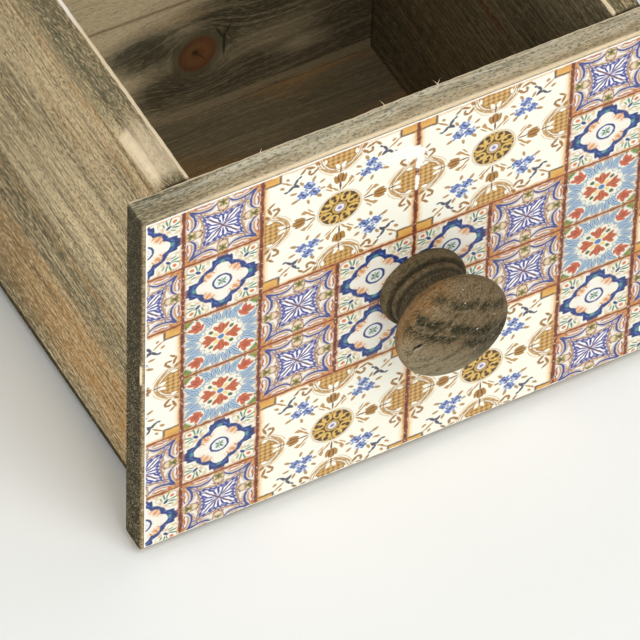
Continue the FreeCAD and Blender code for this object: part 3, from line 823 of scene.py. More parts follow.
def star_tile(tree, u, v):
    """White tile with a violet-blue star of eight petals, a scalloped blue border and gold side florets."""
    far, near, diagonal, off, _ = folded(u, v)
    slope = near.calc("DIVIDE", far)
    reach = far - slope * slope * 0.13
    flare, sag = near.rise(0.38, 0.06), near.rise(0.45, 0.78)
    border = far - flare * flare * 0.27 - sag * sag * 0.12
    coat = Coat(tree, "#F3EDE4")
    coat.lay("#E2A468", diagonal.rise(1.06, 1.2) * 0.9)
    paint(coat, diagonal, off, "#B4532F", [(108, 12, 130, 20, 5), (120, 0, 140, 4, 6)])
    paint(coat, diagonal, off, "#F0CE7E", [(110, 2, 124, 10, 3.5)])
    paint(coat, far, near, "#B9643C", [(92, 30, 88, 56, 3), (97, 16, 97, 34, 3)])
    paint(coat, far, near, "#6E5F8A", [(88, 24, 90, 36, 1.8), (94, 50, 90, 66, 2)])
    coat.lay("#C58B56", line(border, 0.79, 0.026, 0.02) * near.rise(0.2, 0.3))
    coat.lay("#3F4789", line(border, 0.70, 0.038, 0.018) * far.rise(0.99, 0.96))
    paint(coat, diagonal, off, "#3F4789", [(93, 0, 112, 0, 3.5)])
    floret = oval(far, near, (0.77, 0.0), (0.25, 0.15))
    coat.lay("#E9D6B4", floret.rise(1.05, 0.9))
    coat.lay("#AE7758", line(floret, 0.97, 0.1, 0.09))
    paint(coat, far, near, "#7C7438", [(68, 0, 94, 0, 4), (80, 2, 88, 11, 4)])
    paint(coat, far, near, "#9A8A48", [(78, 2, 68, 10, 3.5), (92, 4, 100, 9, 3)])
    coat.lay("#46502E", spot(far, near, (0.80, 0.0), (0.04, 0.035), 0.4))
    coat.lay("#B98650", line(reach, 0.490, 0.02, 0.014) * near.rise(0.02, 0.06))
    coat.lay("#CFB08A", line(border, 0.63, 0.014, 0.016) * near.rise(0.16, 0.24))
    coat.lay("#C68F55", line(diagonal, 0.76, 0.016, 0.016) * off.rise(0.16, 0.1))
    paint(coat, far, near, "#7F5B50", [(46, 0, 54, 0, 3), (52, 7, 60, 16, 1.6)])
    paint(coat, far, near, "#C79A62", [(56, 17, 53, 34, 1.6), (60, 38, 66, 50, 1.6)])
    paint(coat, diagonal, off, "#6F6AA8", [(80, 3, 92, 10, 1.8), (84, 0, 94, 0, 1.6)])
    coat.lay("#80636C", line(reach, 0.455, 0.014, 0.012))
    ragged = reach + (slope * 21.0).calc("COSINE") * 0.022
    coat.lay("#3F4288", ragged.rise(0.44, 0.41))
    coat.lay("#6C6FC0", line(reach, 0.385, 0.012, 0.014) * slope.rise(0.9, 0.6))
    coat.lay("#D3CDE0", ragged.rise(0.345, 0.325))
    paint(coat, diagonal, off, "#FBFAFE", [(14, 6, 54, 6, 4.2)])
    paint(coat, far, near, "#FBFAFE", [(10, 4.5, 35, 6, 3.6)])
    paint(coat, far, near, "#41438C", [(10, 5, 34, 15, 2.4), (12, 0, 38, 0, 3)])
    paint(coat, diagonal, off, "#41438C", [(26, 12, 48, 9, 2.4)])
    coat.lay("#6B4656", off.rise(0.034, 0.012) * diagonal.rise(0.60, 0.48))
    return coat


# Leaves of the floral tile in its folded octant and petals along its diagonal, as strokes from root to tip.
BLUE_LEAVES = ((60, 3, 98, 12, 3.6), (56, 15, 94, 22, 4), (54, 22, 88, 38, 4.5),
               (50, 30, 76, 46, 5), (74, 34, 94, 56, 3), (45, 40, 60, 54, 4))
CORNER_PETALS = ((70, 0, 108, 0, 8.5), (80, 3, 106, 17, 6), (74, 5, 84, 17, 4))


def floral_tile(tree, u, v):
    """Tile of sky-blue leaves round a red-orange flower, with red flowers and green leaves in its corners."""
    far, near, diagonal, off, radius = folded(u, v)
    slope = near.calc("DIVIDE", far)
    halo = radius + (slope * 9.4).calc("COSINE") * 0.05
    coat = Coat(tree, "#EDEADB")
    for *ends, half in BLUE_LEAVES:
        paint(coat, far, near, "#55769C", [(*ends, half + 1.8)], 0.3)
        paint(coat, far, near, "#BDD0DC", [(*ends, half - 0.4)], 0.3)
        paint(coat, far, near, "#6D93BC", [(*ends, half * 0.28)], 0.8)
    coat.lay("#F6F1DF", halo.rise(0.55, 0.53))
    coat.lay("#7E8FA0", line(halo, 0.555, 0.01, 0.012) * 0.9)
    paint(coat, far, near, "#C8693F", [(11, 0, 50, 0, 10), (24, 4, 43, 20, 6)], 0.2)
    paint(coat, far, near, "#9C3F2A", [(22, 3, 44, 7, 1.2), (30, 10, 40, 14, 1.2)])
    paint(coat, diagonal, off, "#F0D784", [(10, 0, 28, 0, 4.2)])
    paint(coat, diagonal, off, "#4C693A", [(31, 0, 44, 0, 5.5)])
    coat.lay("#5584BC", radius.rise(0.095, 0.07))
    corner = oval(diagonal, off, (0.88, 0.0), (0.24, 0.20))
    coat.lay("#F6F1DF", corner.rise(1.0, 0.9) * diagonal.rise(0.62, 0.68))
    paint(coat, diagonal, off, "#C96544", CORNER_PETALS, 0.25)
    paint(coat, diagonal, off, "#97402C", [(80, 3.5, 102, 6, 1.4), (84, 0, 98, 0, 1.2)])
    paint(coat, diagonal, off, "#6C9448", [(114, 4, 138, 4, 8.5)], 0.4)
    paint(coat, diagonal, off, "#3F6230", [(114, 13, 130, 5, 3), (106, 20, 118, 24, 4)])
    paint(coat, far, near, "#4F7040", [(97, 26, 97, 44, 4.5)])
    return coat


# Strokes of the large tile in its folded octant.
BUD = ((44, 0, 61, 0, 4.8), (44, 3.5, 58, 7, 3))
BUD_SHADE = ((45, 2, 60, 3.5, 1), (31, 0, 46, 0, 1.2), (62, 0, 73, 0, 1))
TENDRILS = ((31, 2, 40, 10, 1.4), (38, 9, 46, 16, 1.6), (44, 17, 50, 13, 1.4),
            (66, 4, 72, 16, 1.4), (72, 15, 82, 27, 1.4), (48, 13, 43, 12, 1.4),
            (34, 10, 42, 19, 1))
CURLS = ((86, 28, 78, 36, 2), (78, 34, 80, 42, 2), (80, 41, 87, 40, 2),
         (88, 33, 93, 46, 2), (92, 45, 84, 52, 1.8), (90, 27, 97, 33, 2.6))
# The same in its folded quarter, for what is not alike across the diagonal.
SPRIG_LEAVES = ((30, 40, 24, 33, 2.2), (42, 36, 40, 28, 2), (54, 42, 63, 38, 2.2),
                (56, 54, 65, 56, 2), (48, 64, 52, 72, 2), (36, 66, 32, 74, 2.2),
                (27, 58, 20, 62, 2), (26, 48, 19, 47, 1.8))
RIBBON = ((53, 64, 60, 72, 2.2), (60, 71, 54, 80, 2), (60, 70, 68, 62, 2),
          (67, 62, 73, 63, 1.6), (54, 79, 50, 82, 1.6), (56, 66, 64, 69, 1.4))
SCROLL = ((62, 72, 76, 83, 1.4), (72, 70, 78, 74, 2), (66, 82, 70, 86, 2))
# Middles of a sprig's flowers and the inner corner of the gold corner block, as shares of half a tile.
SPRIG_FLOWERS = ((0.40, 0.60), (0.48, 0.47), (0.33, 0.46))
BLOCK_CORNER = (0.77, 0.835)


def large_tile(tree, u, v):
    """Ivory tile of double size with a gold rosette, lattice side lobes, buds, scrolls and blue sprigs."""
    far, near, _, _, radius = folded(u, v)
    coat = Coat(tree, "#FFFCEC")
    coat.lay("#F3CB82", u.calc("MAXIMUM", v - 0.03).rise(0.89, 0.97) * 0.7)
    coat.lay("#DD9C46", u.calc("MAXIMUM", v - 0.02).rise(0.94, 0.99) * 0.85)
    lobe = oval(far, near, (1.0, 0.0), (0.29, 0.235))
    coat.lay("#D9B98A", line(lobe, 1.36, 0.02, 0.025) * near.rise(0.06, 0.12))
    coat.lay("#C79A5A", line(lobe, 1.23, 0.03, 0.025))
    coat.lay("#B08040", line(lobe, 1.10, 0.03, 0.03))
    coat.lay("#BE8F4C", lobe.rise(1.03, 0.97))
    lattice = ((far + near) * 46.0).calc("SINE") * ((far - near) * 46.0).calc("SINE")
    within = lobe.rise(0.96, 0.88)
    coat.lay("#D9B26C", lattice.rise(-0.05, 0.35) * within)
    coat.lay("#8A5E29", lattice.rise(-0.25, -0.7) * within * 0.8)
    coat.lay("#8E632F", line(lobe, 0.98, 0.016, 0.04))
    paint(coat, far, near, "#FFFBEC", [(71, 2, 79, 6, 2.8), (86, 20, 94, 20, 2.2)], 0.3)
    paint(coat, far, near, "#B98A4A", [(70, 7, 80, 9, 1)])
    paint(coat, far, near, "#A27234", CURLS)
    paint(coat, far, near, "#BE9150", TENDRILS)
    paint(coat, far, near, "#B07F3A", BUD, 0.25)
    paint(coat, far, near, "#6E4620", BUD_SHADE)
    coat.lay("#D8B684", line(radius, 0.284, 0.006, 0.01))
    coat.lay("#5C3A1B", radius.rise(0.272, 0.258))
    petal = oval(far, near, (0.176, 0.073), (0.083, 0.068))
    coat.lay("#E3BC62", petal.rise(1.06, 0.9))
    for centre, radii in (((0.205, 0.083), (0.032, 0.036)), ((0.150, 0.062), (0.030, 0.022))):
        coat.lay("#4A2E14", spot(far, near, centre, radii, 0.3))
    coat.lay("#E3BC62", line(radius, 0.082, 0.010, 0.012))
    coat.lay("#D9A84E", spot(far, near, (0.235, 0.0), (0.03, 0.014), 0.4))
    coat.lay("#EFE9EC", radius.rise(0.068, 0.054))
    coat.lay("#8C86AE", radius.rise(0.036, 0.02))
    paint(coat, u, v, "#B58C55", SPRIG_LEAVES)
    for centre in SPRIG_FLOWERS:
        flower = oval(u, v, centre, (0.072, 0.066))
        bite = ((u - centre[0]) * 80.0).calc("SINE") * ((v - centre[1]) * 80.0).calc("SINE") * 0.3 + flower
        coat.lay("#8FA6DA", bite.rise(1.2, 0.85))
        coat.lay("#3F5192", line(bite, 0.75, 0.16, 0.16) * 0.9)
        coat.lay("#C8D3F0", spot(u, v, (centre[0] - 0.02, centre[1] + 0.025), (0.025, 0.02), 0.4))
        coat.lay("#3C3A5A", flower.rise(0.38, 0.2))
    paint(coat, u, v, "#4C4C5E", RIBBON)
    paint(coat, u, v, "#B98C4E", SCROLL)
    block = (u - BLOCK_CORNER[0]).calc("MINIMUM", v - BLOCK_CORNER[1])
    coat.lay("#E7B45C", block.rise(-0.005, 0.012))
    coat.lay("#C9873A", block.rise(0.03, 0.16) * 0.8)
    coat.lay("#5A3218", line(block, 0.0, 0.014, 0.012))
    return coat


def motif(draw):
    """A tile motif as a node group: its place from the tile's middle comes in and its colour goes out."""
    group = bpy.data.node_groups.new(draw.__name__, "ShaderNodeTree")
    for socket in ("Across", "Up"):
        group.interface.new_socket(socket, in_out="INPUT", socket_type="NodeSocketFloat")
    group.interface.new_socket("Colour", in_out="OUTPUT", socket_type="NodeSocketColor")
    across, up = fields_of(group, add_node(group, "NodeGroupInput"))[:2]
    add_node(group, "NodeGroupOutput", None, {0: draw(group, across, up)})
    return group


# White scars of the print: centre across and up, and radii, in millimetres.
PRINT_SCARS = (
    ((-6.5, 127.6), (5.0, 2.2)), ((-1.6, 126.0), (3.6, 2.6)),
    ((0.3, 122.0), (1.4, 2.6)), ((-0.4, 114.0), (0.7, 3.0)),
)
# The paper's half width and the heights of its lower and upper edge, in millimetres.
PAPER_EDGES = (83.8, 4.5, 138.1)
PAPER_ARRIS = 0.12 * MM
# Cells of a quarter of the print that hold stars and flowers, counted in rows of four from its middle.
STAR_CELLS, FLORAL_CELL = (1.0, 7.0, 10.0), 2.0


def printed_paper(name, paper):
    """Varnished paper printed with a patchwork of traditional glazed tiles.

    The eye sees flat inks with a slight hand-painted waver, red-brown joints that bleed orange into the
    tiles, and white paper at the rubbed edges and where scraps of the print came off.
    """
    material, tree, shader = new_material(name)
    still = place_in_mm(tree)
    wavering = shaken(tree, still, 1.2, (0.45, 0.0, 0.45))
    x, _, z = fields_of(tree, add_node(tree, "ShaderNodeSeparateXYZ", None, {0: wavering}))
    across = abs(x - paper.middle[0] / MM) * (MM / paper.tile_width)
    up = abs(z - paper.middle[1] / MM) * (MM / paper.tile_height)
    column, row = across.calc("FLOOR"), up.calc("FLOOR")
    small = [abs((place - number) * 2 - 1) for place, number in ((across, column), (up, row))]
    outside = across.calc("GREATER_THAN", 3.0)
    double = [abs(across - 1 - outside * 3), abs(up - 2 + outside * 2)]
    inner = across.calc("LESS_THAN", 2.0) * up.calc("GREATER_THAN", 1.0)
    is_double = inner + outside * up.calc("LESS_THAN", 1.0)
    cell = column + row * 4
    is_star = sum(cell.calc("COMPARE", number, 0.1) for number in STAR_CELLS)
    is_floral = cell.calc("COMPARE", FLORAL_CELL, 0.1)
    draws = {ring_tile: small, star_tile: small, floral_tile: small, large_tile: double}
    tiles = [add_node(tree, "ShaderNodeGroup", {"node_tree": motif(draw)}, dict(enumerate(place)))
             for draw, place in draws.items()]
    colour = Coat(tree, tiles[0].outputs[0])
    for tile, mask in zip(tiles[1:], (is_star, is_floral, is_double)):
        colour.lay(tile.outputs[0], mask)
    half = (paper.tile_width / MM / 2, paper.tile_height / MM / 2)
    beside, above = [(1 - small[way]) * half[way] for way in (0, 1)]
    wide_beside, wide_above = [(1 - double[way]) * half[way] * 2 for way in (0, 1)]
    beside = beside + is_double * (wide_beside - beside)
    above = above + is_double * (wide_above - above)
    bleed = streaks(tree, still, 2.2, 2.2, 3, 4)
    colour.lay("#DB9650", (beside.calc("MINIMUM", above) + bleed * 2.0).rise(2.4, 1.3) * 0.85)
    colour.lay("#7B3C27", (beside + bleed * 1.2).rise(1.35, 1.0))
    colour.lay("#8A4A2A", (above + bleed * 0.9).rise(0.95, 0.7))
    colour.lay("#4C231E", (beside + bleed * 1.6).rise(0.95, 0.75) * 0.85)
    speck = streaks(tree, still, 0.9, 0.9, 1, 8)
    colour.lay("#F3E4CC", beside.rise(0.7, 0.3) * speck.rise(0.63, 0.69) * 0.8)
    ragged = bleed.sway(1.6) + speck.sway(0.8)
    for centre, radii in PRINT_SCARS:
        colour.lay("#FFFDF6", (oval(x, z, centre, radii) + ragged).rise(1.15, 0.85))
    width, low, high = PAPER_EDGES
    edge = (width - abs(x)).calc("MINIMUM", (z - low).calc("MINIMUM", high - z))
    colour.lay("#FFFDF6", (edge + ragged * 0.5).rise(0.55, 0.25))
    tree.links.new(colour.socket, shader.inputs["Base Color"])
    shader.inputs["Roughness"].default_value = 0.5
    return material


class CADDY_OT_tile_print(bpy.types.Operator):
    """Make the printed paper on the drawer's front"""
    bl_idname = "caddy.tile_print"
    bl_label = "Tile print"

    def execute(self, context):
        wood, paper = context.scene.caddy_wood, context.scene.caddy_print
        piece = worn_board("tile_print_paper", *node_box("tile_print"), "XZY", PAPER_ARRIS, wood, 71)
        look = printed_paper("varnished_printed_paper", paper)
        settle(piece, look, "drawer", "tile_print_paper", "tile_print")
        return {"FINISHED"}


def arc_points(start, end, radius, bulge, count):
    """Points of an arc from one point to another, without the last. It swells to the right of the way, or to
    the left if bulge is -1."""
    start, end = np.array(start), np.array(end)
    chord = end - start
    inwards = np.array([-chord[1], chord[0]]) / np.hypot(*chord) * bulge
    centre = start + chord / 2 + inwards * math.sqrt(radius ** 2 - chord @ chord / 4)
    begin, finish = (math.atan2(*(point - centre)[::-1]) for point in (start, end))
    sweep = (finish - begin) % (2 * math.pi) - (0 if bulge > 0 else 2 * math.pi)
    angles = begin + sweep * np.arange(count) / count
    return centre + radius * np.stack([np.cos(angles), np.sin(angles)], axis=-1)


# The knob's length, the heights of its rim, groove, bead, throat and equator above the seat, and its bore.
KNOB_LENGTH = 25.4 * MM
KNOB_HEIGHTS = np.array([3.75, 4.15, 6.2, 12.2, 18.1]) * MM
KNOB_BORE, BORE_DEPTH = 1.8 * MM, 14.5 * MM
# The rows of the bore, its eased mouth and the seat, as shares of the bore and heights.
BORE_ROWS = ((1, BORE_DEPTH), (1, 8 * MM), (1, 0.4 * MM), (1.3, 0.0), (3, 0.0))
# The rounds from the seat to the equator: radius, the side that it swells to and how many points it has.
KNOB_ROUNDS = ((4.4 * MM, 1, 12), (2.4 * MM, 1, 8), (1.9 * MM, 1, 12), (4.0 * MM, -1, 16), (5.9 * MM, 1, 18))
SHOULDER, SHOULDER_POINTS, CROWN_POINTS = 4.4 * MM, 16, 40


def knob_profile(knob):
    """The knob's half profile as radius and height: down the bore, across the seat, and over the stepped
    flange, bead, neck and head to the tip. Each round is an arc of a circle, and the crown runs smoothly out
    of the shoulder."""
    rim, groove, bead, throat, equator = KNOB_HEIGHTS
    overhang, rise = knob.head / 2 - SHOULDER, KNOB_LENGTH - equator
    crown = (overhang ** 2 + rise ** 2 - SHOULDER ** 2) / (2 * (rise - SHOULDER))
    way = np.array([overhang, equator - (KNOB_LENGTH - crown)])
    crown_start = np.array([0, KNOB_LENGTH - crown]) + way / np.hypot(*way) * crown
    points = [(knob.foot / 2, 0.0), (knob.rim / 2, rim), (knob.groove / 2, groove), (knob.bead / 2, bead),
              (knob.throat / 2, throat), (knob.head / 2, equator), crown_start, (0.0, KNOB_LENGTH)]
    rounds = (*KNOB_ROUNDS, (SHOULDER, 1, SHOULDER_POINTS), (crown, 1, CROWN_POINTS))
    arcs = [arc_points(start, end, *how) for start, end, how in zip(points, points[1:], rounds)]
    return np.concatenate([np.array(BORE_ROWS) * (KNOB_BORE, 1), *arcs])


# Dents in the knob: place across and up from its axis, height, size and depth, in millimetres.
KNOB_DENTS = ((-13.7, 1.5, 22.3, 1.1, 0.6), (-12.6, 3.2, 22.2, 0.8, 0.4), (9.0, 8.0, 23.5, 0.6, 0.25),
              (13.5, -3.0, 21.5, 0.6, 0.3), (-9.0, 9.5, 2.2, 0.5, 0.3))
# How much of a dent's depth goes inwards and how much down.
DENT_INWARDS, DENT_DOWN = 0.5, 0.8
KNOB_COLUMNS = 200


def turned_points(profile, seat):
    """Turn a half profile about an axis along -Y through a seat point, and take a bell out at each dent."""
    turn = circle(KNOB_COLUMNS)
    radius, height = (np.repeat(profile[:, way:way + 1], KNOB_COLUMNS, axis=1) for way in (0, 1))
    for across, up, tall, size, depth in KNOB_DENTS:
        apart = np.sqrt((radius * np.cos(turn) - across * MM) ** 2 + (radius * np.sin(turn) - up * MM) ** 2
                        + (height - tall * MM) ** 2) / (size * MM)
        bell = depth * MM * np.exp(-apart ** 2)
        radius, height = radius - bell * DENT_INWARDS, height - bell * DENT_DOWN
    return round_y(seat, radius, seat[1] - height, turn)


# The grain of the knob's blank, turned about its axis.
KNOB_GRAIN = math.radians(27.4)


def turned_wood(name, knob, seat):
    """Turned hardwood under a dark satin stain.

    The eye sees olive and brown bands along the grain, which lies across the knob, warm wood on the upper
    left shoulder, a grey worn side, nearly black steps and neck in painted shade under the head with some
    dark stain, fine pores and hatching from turning.
    """
    material, tree, shader = new_material(name)
    place = place_in_mm(tree, shift=tuple((-seat / MM).tolist()))
    across, depth, up = fields_of(tree, add_node(tree, "ShaderNodeSeparateXYZ", None, {0: place}))
    height = depth * -1.0
    along = across * math.cos(KNOB_GRAIN) - up * math.sin(KNOB_GRAIN)
    level = across * math.sin(KNOB_GRAIN) + up * math.cos(KNOB_GRAIN)
    where = place_in_mm(tree, (0.0, KNOB_GRAIN, 0.0))
    band = streaks(tree, where, 26, 2.2, 3, 3)
    patch = streaks(tree, where, 9, 4, 3, 9)
    pore = streaks(tree, where, 1.1, 0.4, 2, 15)
    hatch = streaks(tree, place_in_mm(tree, GRAIN_TURN["Y"]), 7, 0.5, 2, 21)
    face = height.rise(17.0, 20.0)
    ragged = patch.sway(9) + band.sway(6)
    coat = Coat(tree, knob.brown)
    coat.lay(knob.orange, (along + ragged * 0.5).rise(-6.0, -11.0) * height.between(11.5, 21.0, 1.5) * 0.9)
    coat.lay(knob.orange, (along + ragged * 0.5).rise(9.0, 0.0) * height.between(11.0, 14.5, 1.2) * 0.55)
    coat.lay(knob.pale, (level + ragged * 0.6).rise(-1.0, -7.0) * face * 0.75)
    broken, wavy = face * patch.rise(0.34, 0.48), level + ragged * 0.35
    for low, high, strength in ((10.4, 12.8, 0.85), (2.8, 6.2, 1.0), (-0.8, 1.9, 0.95)):
        coat.lay(knob.dark, wavy.between(low, high, 0.8) * broken * strength)
    coat.lay(knob.dark, (along + ragged).rise(4.0, 9.0) * level.between(-7.0, 6.0, 2.0) * face * 0.7)
    coat.lay(knob.dark, spot(across, up, (3.0, -1.8), (2.2, 1.4), 0.5) * face * 0.7)
    coat.lay(knob.dark, band.rise(0.47, 0.36) * 0.5)
    coat.lay(knob.pale, band.rise(0.56, 0.72) * 0.35)
    coat.lay("#1C190F", pore.rise(0.48, 0.34) * 0.6)
    coat.lay(knob.pale, pore.rise(0.54, 0.68) * 0.5)
    coat.lay("#D8D0BC", streaks(tree, where, 0.8, 0.8, 1, 33).rise(0.76, 0.80))
    # A grey chip and a near-black crack at the dent, partly painted highlight on its rim and painted shade in
    # its hollow.
    coat.lay("#8F8672", brush(across, up, (-14.2, 0.4), (-12.2, 2.6), 0.5) * face)
    coat.lay("#15130B", brush(across, up, (-14.4, 1.0), (-12.0, 3.6), 0.45) * face)
    coat.lay(knob.dark, height.rise(9.0, 6.0) * 0.4)
    coat.lay(knob.dark, hatch.rise(0.48, 0.36) * height.rise(13.0, 10.0) * 0.5)
    # Painted shade under the head: near-black bands at the flange's step, the step after the bead and the
    # neck, partly over dark stain in the grooves.
    for low, high, strength in ((3.9, 4.35, 0.8), (6.1, 7.2, 0.75), (7.2, 9.5, 0.62)):
        coat.lay("#15130B", height.between(low, high, 0.35) * strength)
    roughness = 0.85 - band * 0.2
    finish_shader(tree, shader, coat, roughness, band * 0.2 + pore * 0.5 + hatch * 0.3, 0.12 * MM)
    shader.inputs["Specular IOR Level"].default_value = 0.15
    return material


class CADDY_OT_knob(bpy.types.Operator):
    """Turn the wooden knob"""
    bl_idname = "caddy.knob"
    bl_label = "Knob"

    def execute(self, context):
        knob = context.scene.caddy_knob
        low, high = node_box("knob")
        seat = np.array([(low[0] + high[0]) / 2, high[1], (low[2] + high[2]) / 2])
        poles = [seat - (0, BORE_DEPTH, 0), seat - (0, KNOB_LENGTH, 0)]
        piece = build_mesh("knob_turned", turned_points(knob_profile(knob), seat), poles)
        settle(piece, turned_wood("dark_turned_wood", knob, seat), "drawer", "turned_wood", "knob")
        return {"FINISHED"}


def bright_steel(name):
    """Drawn and pressed steel: a dull grey metal with fine scratches and darker spots of tarnish."""
    material, tree, shader = new_material(name)
    where = place_in_mm(tree)
    scratch = streaks(tree, where, 3, 0.3, 3, 1)
    tarnish = streaks(tree, where, 1.2, 1.2, 2, 5)
    colour = Coat(tree, "#A9A59E")
    colour.lay("#5E5A54", tarnish.rise(0.5, 0.7) * 0.7)
    shader.inputs["Metallic"].default_value = 1.0
    finish_shader(tree, shader, colour, 0.3 + scratch * 0.3, scratch, 0.03 * MM)
    return material


# The screw's sizes: shank and core radius, thread pitch, head radius and height, and the cross recess.
SHANK, CORE, PITCH = 1.8 * MM, 1.35 * MM, 1.6 * MM
HEAD_RADIUS, HEAD_HEIGHT = 3.55 * MM, 2.3 * MM
RECESS_ARM, RECESS_HALF, RECESS_DEPTH = 2.0 * MM, 0.42 * MM, 1.1 * MM
# How long its point is, how far steel stays inside its CAD size, and how wide the recess's walls slope.
POINT_LENGTH, STEEL_PLAY, RECESS_SLOPE = 4 * MM, 0.05 * MM, 0.3
SCREW_COLUMNS, SHANK_ROWS, HEAD_ROWS, WASHER_ROWS = 96, 120, 36, 40


def screw_points(low, high):
    """A pan-head screw along Y, its point towards -Y, as a grid of rows along it and columns round it.

    The shank's radius is the core plus a ramp of the turn and the height, which winds up into a thread. The
    head is half of an ellipse, and a cross of two slots with sloping walls is sunk into it.
    """
    turn = circle(SCREW_COLUMNS)
    centre = (low + high) / 2
    seat = high[1] - HEAD_HEIGHT - STEEL_PLAY
    rows = np.linspace(low[1] + 2 * STEEL_PLAY, seat, SHANK_ROWS)[:, None]
    point = np.clip((rows - low[1]) / POINT_LENGTH, 0.25, 1)
    winding = np.abs(((rows / PITCH + turn / (2 * np.pi)) % 1) * 2 - 1)
    shank = (CORE + (SHANK - CORE) * np.clip(winding * 1.6 - 0.6, 0, 1)) * point
    swell = np.linspace(0, np.pi / 2, HEAD_ROWS)[:, None]
    head = HEAD_RADIUS * np.cos(swell).clip(0.02) * np.ones_like(turn)
    across, up = head * np.cos(turn), head * np.sin(turn)
    arms = [np.clip((RECESS_HALF - np.abs(one)) / (RECESS_SLOPE * RECESS_HALF), 0, 1)
            * np.clip((RECESS_ARM - np.abs(other)) / (RECESS_SLOPE * RECESS_ARM), 0, 1)
            for one, other in ((across, up), (up, across))]
    tall = seat + HEAD_HEIGHT * np.sin(swell) - RECESS_DEPTH * np.maximum(*arms)
    radius = np.concatenate([shank, head])
    height = np.concatenate([rows * np.ones_like(turn), tall])
    ends = low[1] + STEEL_PLAY, seat + HEAD_HEIGHT - RECESS_DEPTH
    return round_y(centre, radius, height, turn), [(centre[0], end, centre[2]) for end in ends]


def washer_points(low, high):
    """A flat ring along Y with rounded edges.

    An oblong is turned about the axis, closed on itself both ways. The oblong is a circle whose cosine and
    sine are raised to low powers, which squares it off.
    """
    outer, bore = (high[0] - low[0]) / 2 - STEEL_PLAY, SHANK + STEEL_PLAY
    around, turn = circle(WASHER_ROWS)[:, None], circle(SCREW_COLUMNS)
    wide, thick = (np.sign(wave) * np.abs(wave) ** power
                   for wave, power in ((np.cos(around), 0.25), (np.sin(around), 0.5)))
    centre = (low + high) / 2
    radius = (outer + bore) / 2 + (outer - bore) / 2 * wide
    height = centre[1] + (high[1] - low[1]) / 2 * thick * np.ones_like(turn)
    return round_y(centre, radius, height, turn)


class CADDY_OT_fasteners(bpy.types.Operator):
    """Make the knob's screw and washer, and give the brads a steel finish"""
    bl_idname = "caddy.fasteners"
    bl_label = "Fasteners"

    def execute(self, context):
        steel = bright_steel("drawn_steel")
        screw = build_mesh("knob_screw_steel", *screw_points(*node_box("knob_screw")))
        settle(screw, steel, "drawer", "steel_fasteners", "knob_screw")
        washer = build_mesh("knob_washer_steel", washer_points(*node_box("knob_washer")))
        settle(washer, steel, "drawer", "steel_fasteners", "knob_washer")
        for name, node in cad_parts.items():
            if name.endswith(("_nails", "_pins")):
                node.data.materials.clear()
                node.data.materials.append(steel)
        return {"FINISHED"}


def add_lamp(name, power, size, place, target):
    """A square soft lamp that faces a target."""
    data = bpy.data.lights.new(name, "AREA")
    data.energy, data.size = power, size
    lamp = bpy.data.objects.new(name, data)
    place, target = np.array(place), np.array(target)
    back = (place - target) / np.linalg.norm(place - target)
    side = np.cross((0.0, 0.0, 1.0), back)
    side /= np.linalg.norm(side)
    turn = np.column_stack([side, np.cross(back, side), back])
    lamp.matrix_world = Matrix.Translation(place) @ Matrix(turn.tolist()).to_4x4()
    lamp.visible_camera = False
    bpy.context.scene.collection.objects.link(lamp)


# The camera's place, its right, up and backward axes, its sensor in millimetres and how near and far it sees.
CAMERA_PLACE = (-0.7278, -1.4057, 1.6454)
CAMERA_AXES = ((0.87777, -0.47860, 0.02142), (0.34549, 0.66336, 0.66378), (-0.33190, -0.57524, 0.74763))
SENSOR_WIDTH, CLIP_RANGE = 36.0, (0.05, 50.0)
FLOOR_HALF = 6.0
LAMP_TARGET = (0.0, -0.12, 0.05)
KEY_PLACE, KEY_SIZE = (0.08, -1.18, 1.44), 1.0
FILL_PLACE, FILL_SIZE = (-1.5, -0.45, 0.3), 0.5


def lay_floor(scene, colour):
    """A wide matt white board under the caddy."""
    mesh = bpy.data.meshes.new("floor")
    corners = np.array([(-1, -1, 0), (1, -1, 0), (1, 1, 0), (-1, 1, 0)]) * FLOOR_HALF
    mesh.from_pydata(corners.tolist(), [], [(0, 1, 2, 3)])
    floor = bpy.data.objects.new("floor", mesh)
    scene.collection.objects.link(floor)
    material, _, shader = new_material("matt_white_board")
    shader.inputs["Base Color"].default_value = colour
    shader.inputs["Roughness"].default_value = 0.7
    mesh.materials.append(material)


def light_room(scene, ambient):
    """A room that gives even light, and is plain white to the camera and in reflections."""
    world = bpy.data.worlds.new("soft_room")
    world.use_nodes = True
    tree = world.node_tree
    path = add_node(tree, "ShaderNodeLightPath").outputs
    seen = Field(tree, path["Is Camera Ray"]).calc("MAXIMUM", path["Is Glossy Ray"])
    seen = seen.calc("MAXIMUM", path["Is Transmission Ray"])
    background = tree.nodes["Background"].inputs
    tree.links.new((seen * (1 - ambient) + ambient).socket, background["Strength"])
    background["Color"].default_value = (1, 1, 1, 1)
    scene.world = world


def place_camera(scene, lens):
    """A camera with a long lens at its place and turn."""
    data = bpy.data.cameras.new("camera")
    data.lens, data.sensor_width = lens, SENSOR_WIDTH
    data.clip_start, data.clip_end = CLIP_RANGE
    camera = bpy.data.objects.new("camera", data)
    camera.matrix_world = Matrix.Translation(CAMERA_PLACE) @ Matrix(CAMERA_AXES).transposed().to_4x4()
    scene.collection.objects.link(camera)
    scene.camera = camera


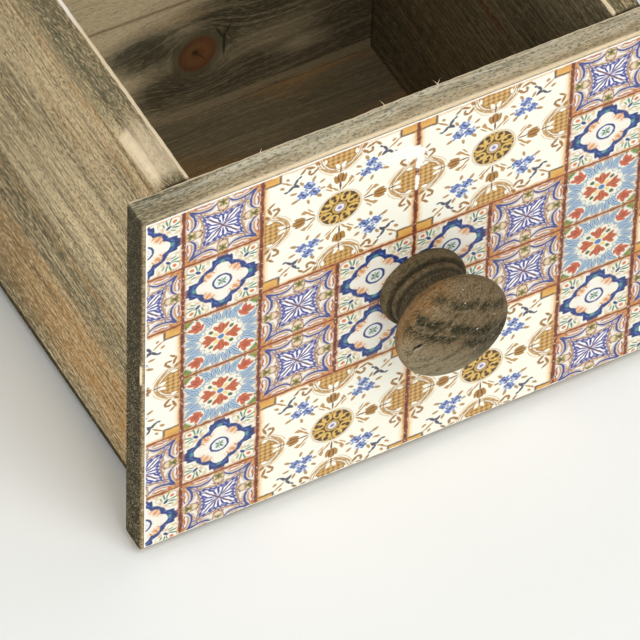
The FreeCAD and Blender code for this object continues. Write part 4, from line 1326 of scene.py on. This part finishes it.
class CADDY_OT_stage(bpy.types.Operator):
    """Lay the floor, hang the lamps and set up the camera"""
    bl_idname = "caddy.stage"
    bl_label = "Stage"

    def execute(self, context):
        scene, stage = context.scene, context.scene.caddy_stage
        lay_floor(scene, stage.floor)
        light_room(scene, stage.ambient)
        add_lamp("key_lamp", stage.key_power, KEY_SIZE, KEY_PLACE, LAMP_TARGET)
        add_lamp("fill_lamp", stage.fill_power, FILL_SIZE, FILL_PLACE, LAMP_TARGET)
        place_camera(scene, stage.lens)
        scene.view_settings.view_transform = "Standard"
        return {"FINISHED"}


PIECE_OPERATORS = (
    CADDY_OT_drawer_boards,
    CADDY_OT_case_boards,
    CADDY_OT_panels,
    CADDY_OT_splinters,
    CADDY_OT_tile_print,
    CADDY_OT_knob,
    CADDY_OT_fasteners,
    CADDY_OT_stage,
)


class CADDY_PT_pieces(bpy.types.Panel):
    """Lists the caddy's pieces and the settings behind them"""
    bl_label = "Utensil caddy"
    bl_space_type = "VIEW_3D"
    bl_region_type = "UI"
    bl_category = "Caddy"

    def draw(self, context):
        for operator in PIECE_OPERATORS:
            self.layout.operator(operator.bl_idname)
        for group in (getattr(context.scene, name) for name in SETTINGS):
            box = self.layout.box()
            for name in group.__annotations__:
                box.prop(group, name)


SETTINGS = {
    "caddy_wood": CaddyWood,
    "caddy_print": CaddyPrint,
    "caddy_knob": CaddyKnob,
    "caddy_stage": CaddyStage,
}
CLASSES = (*SETTINGS.values(), *PIECE_OPERATORS, CADDY_PT_pieces)


def register():
    """Make the settings, operators and panel known."""
    for item in CLASSES:
        bpy.utils.register_class(item)
    for name, group in SETTINGS.items():
        setattr(bpy.types.Scene, name, PointerProperty(type=group))


def unregister():
    """Take them away again."""
    for name in SETTINGS:
        delattr(bpy.types.Scene, name)
    for item in reversed(CLASSES):
        bpy.utils.unregister_class(item)


def main():
    """Dress the caddy piece by piece."""
    register()
    for operator in PIECE_OPERATORS:
        group, name = operator.bl_idname.split(".")
        getattr(getattr(bpy.ops, group), name)()


if __name__ == "__main__":
    main()
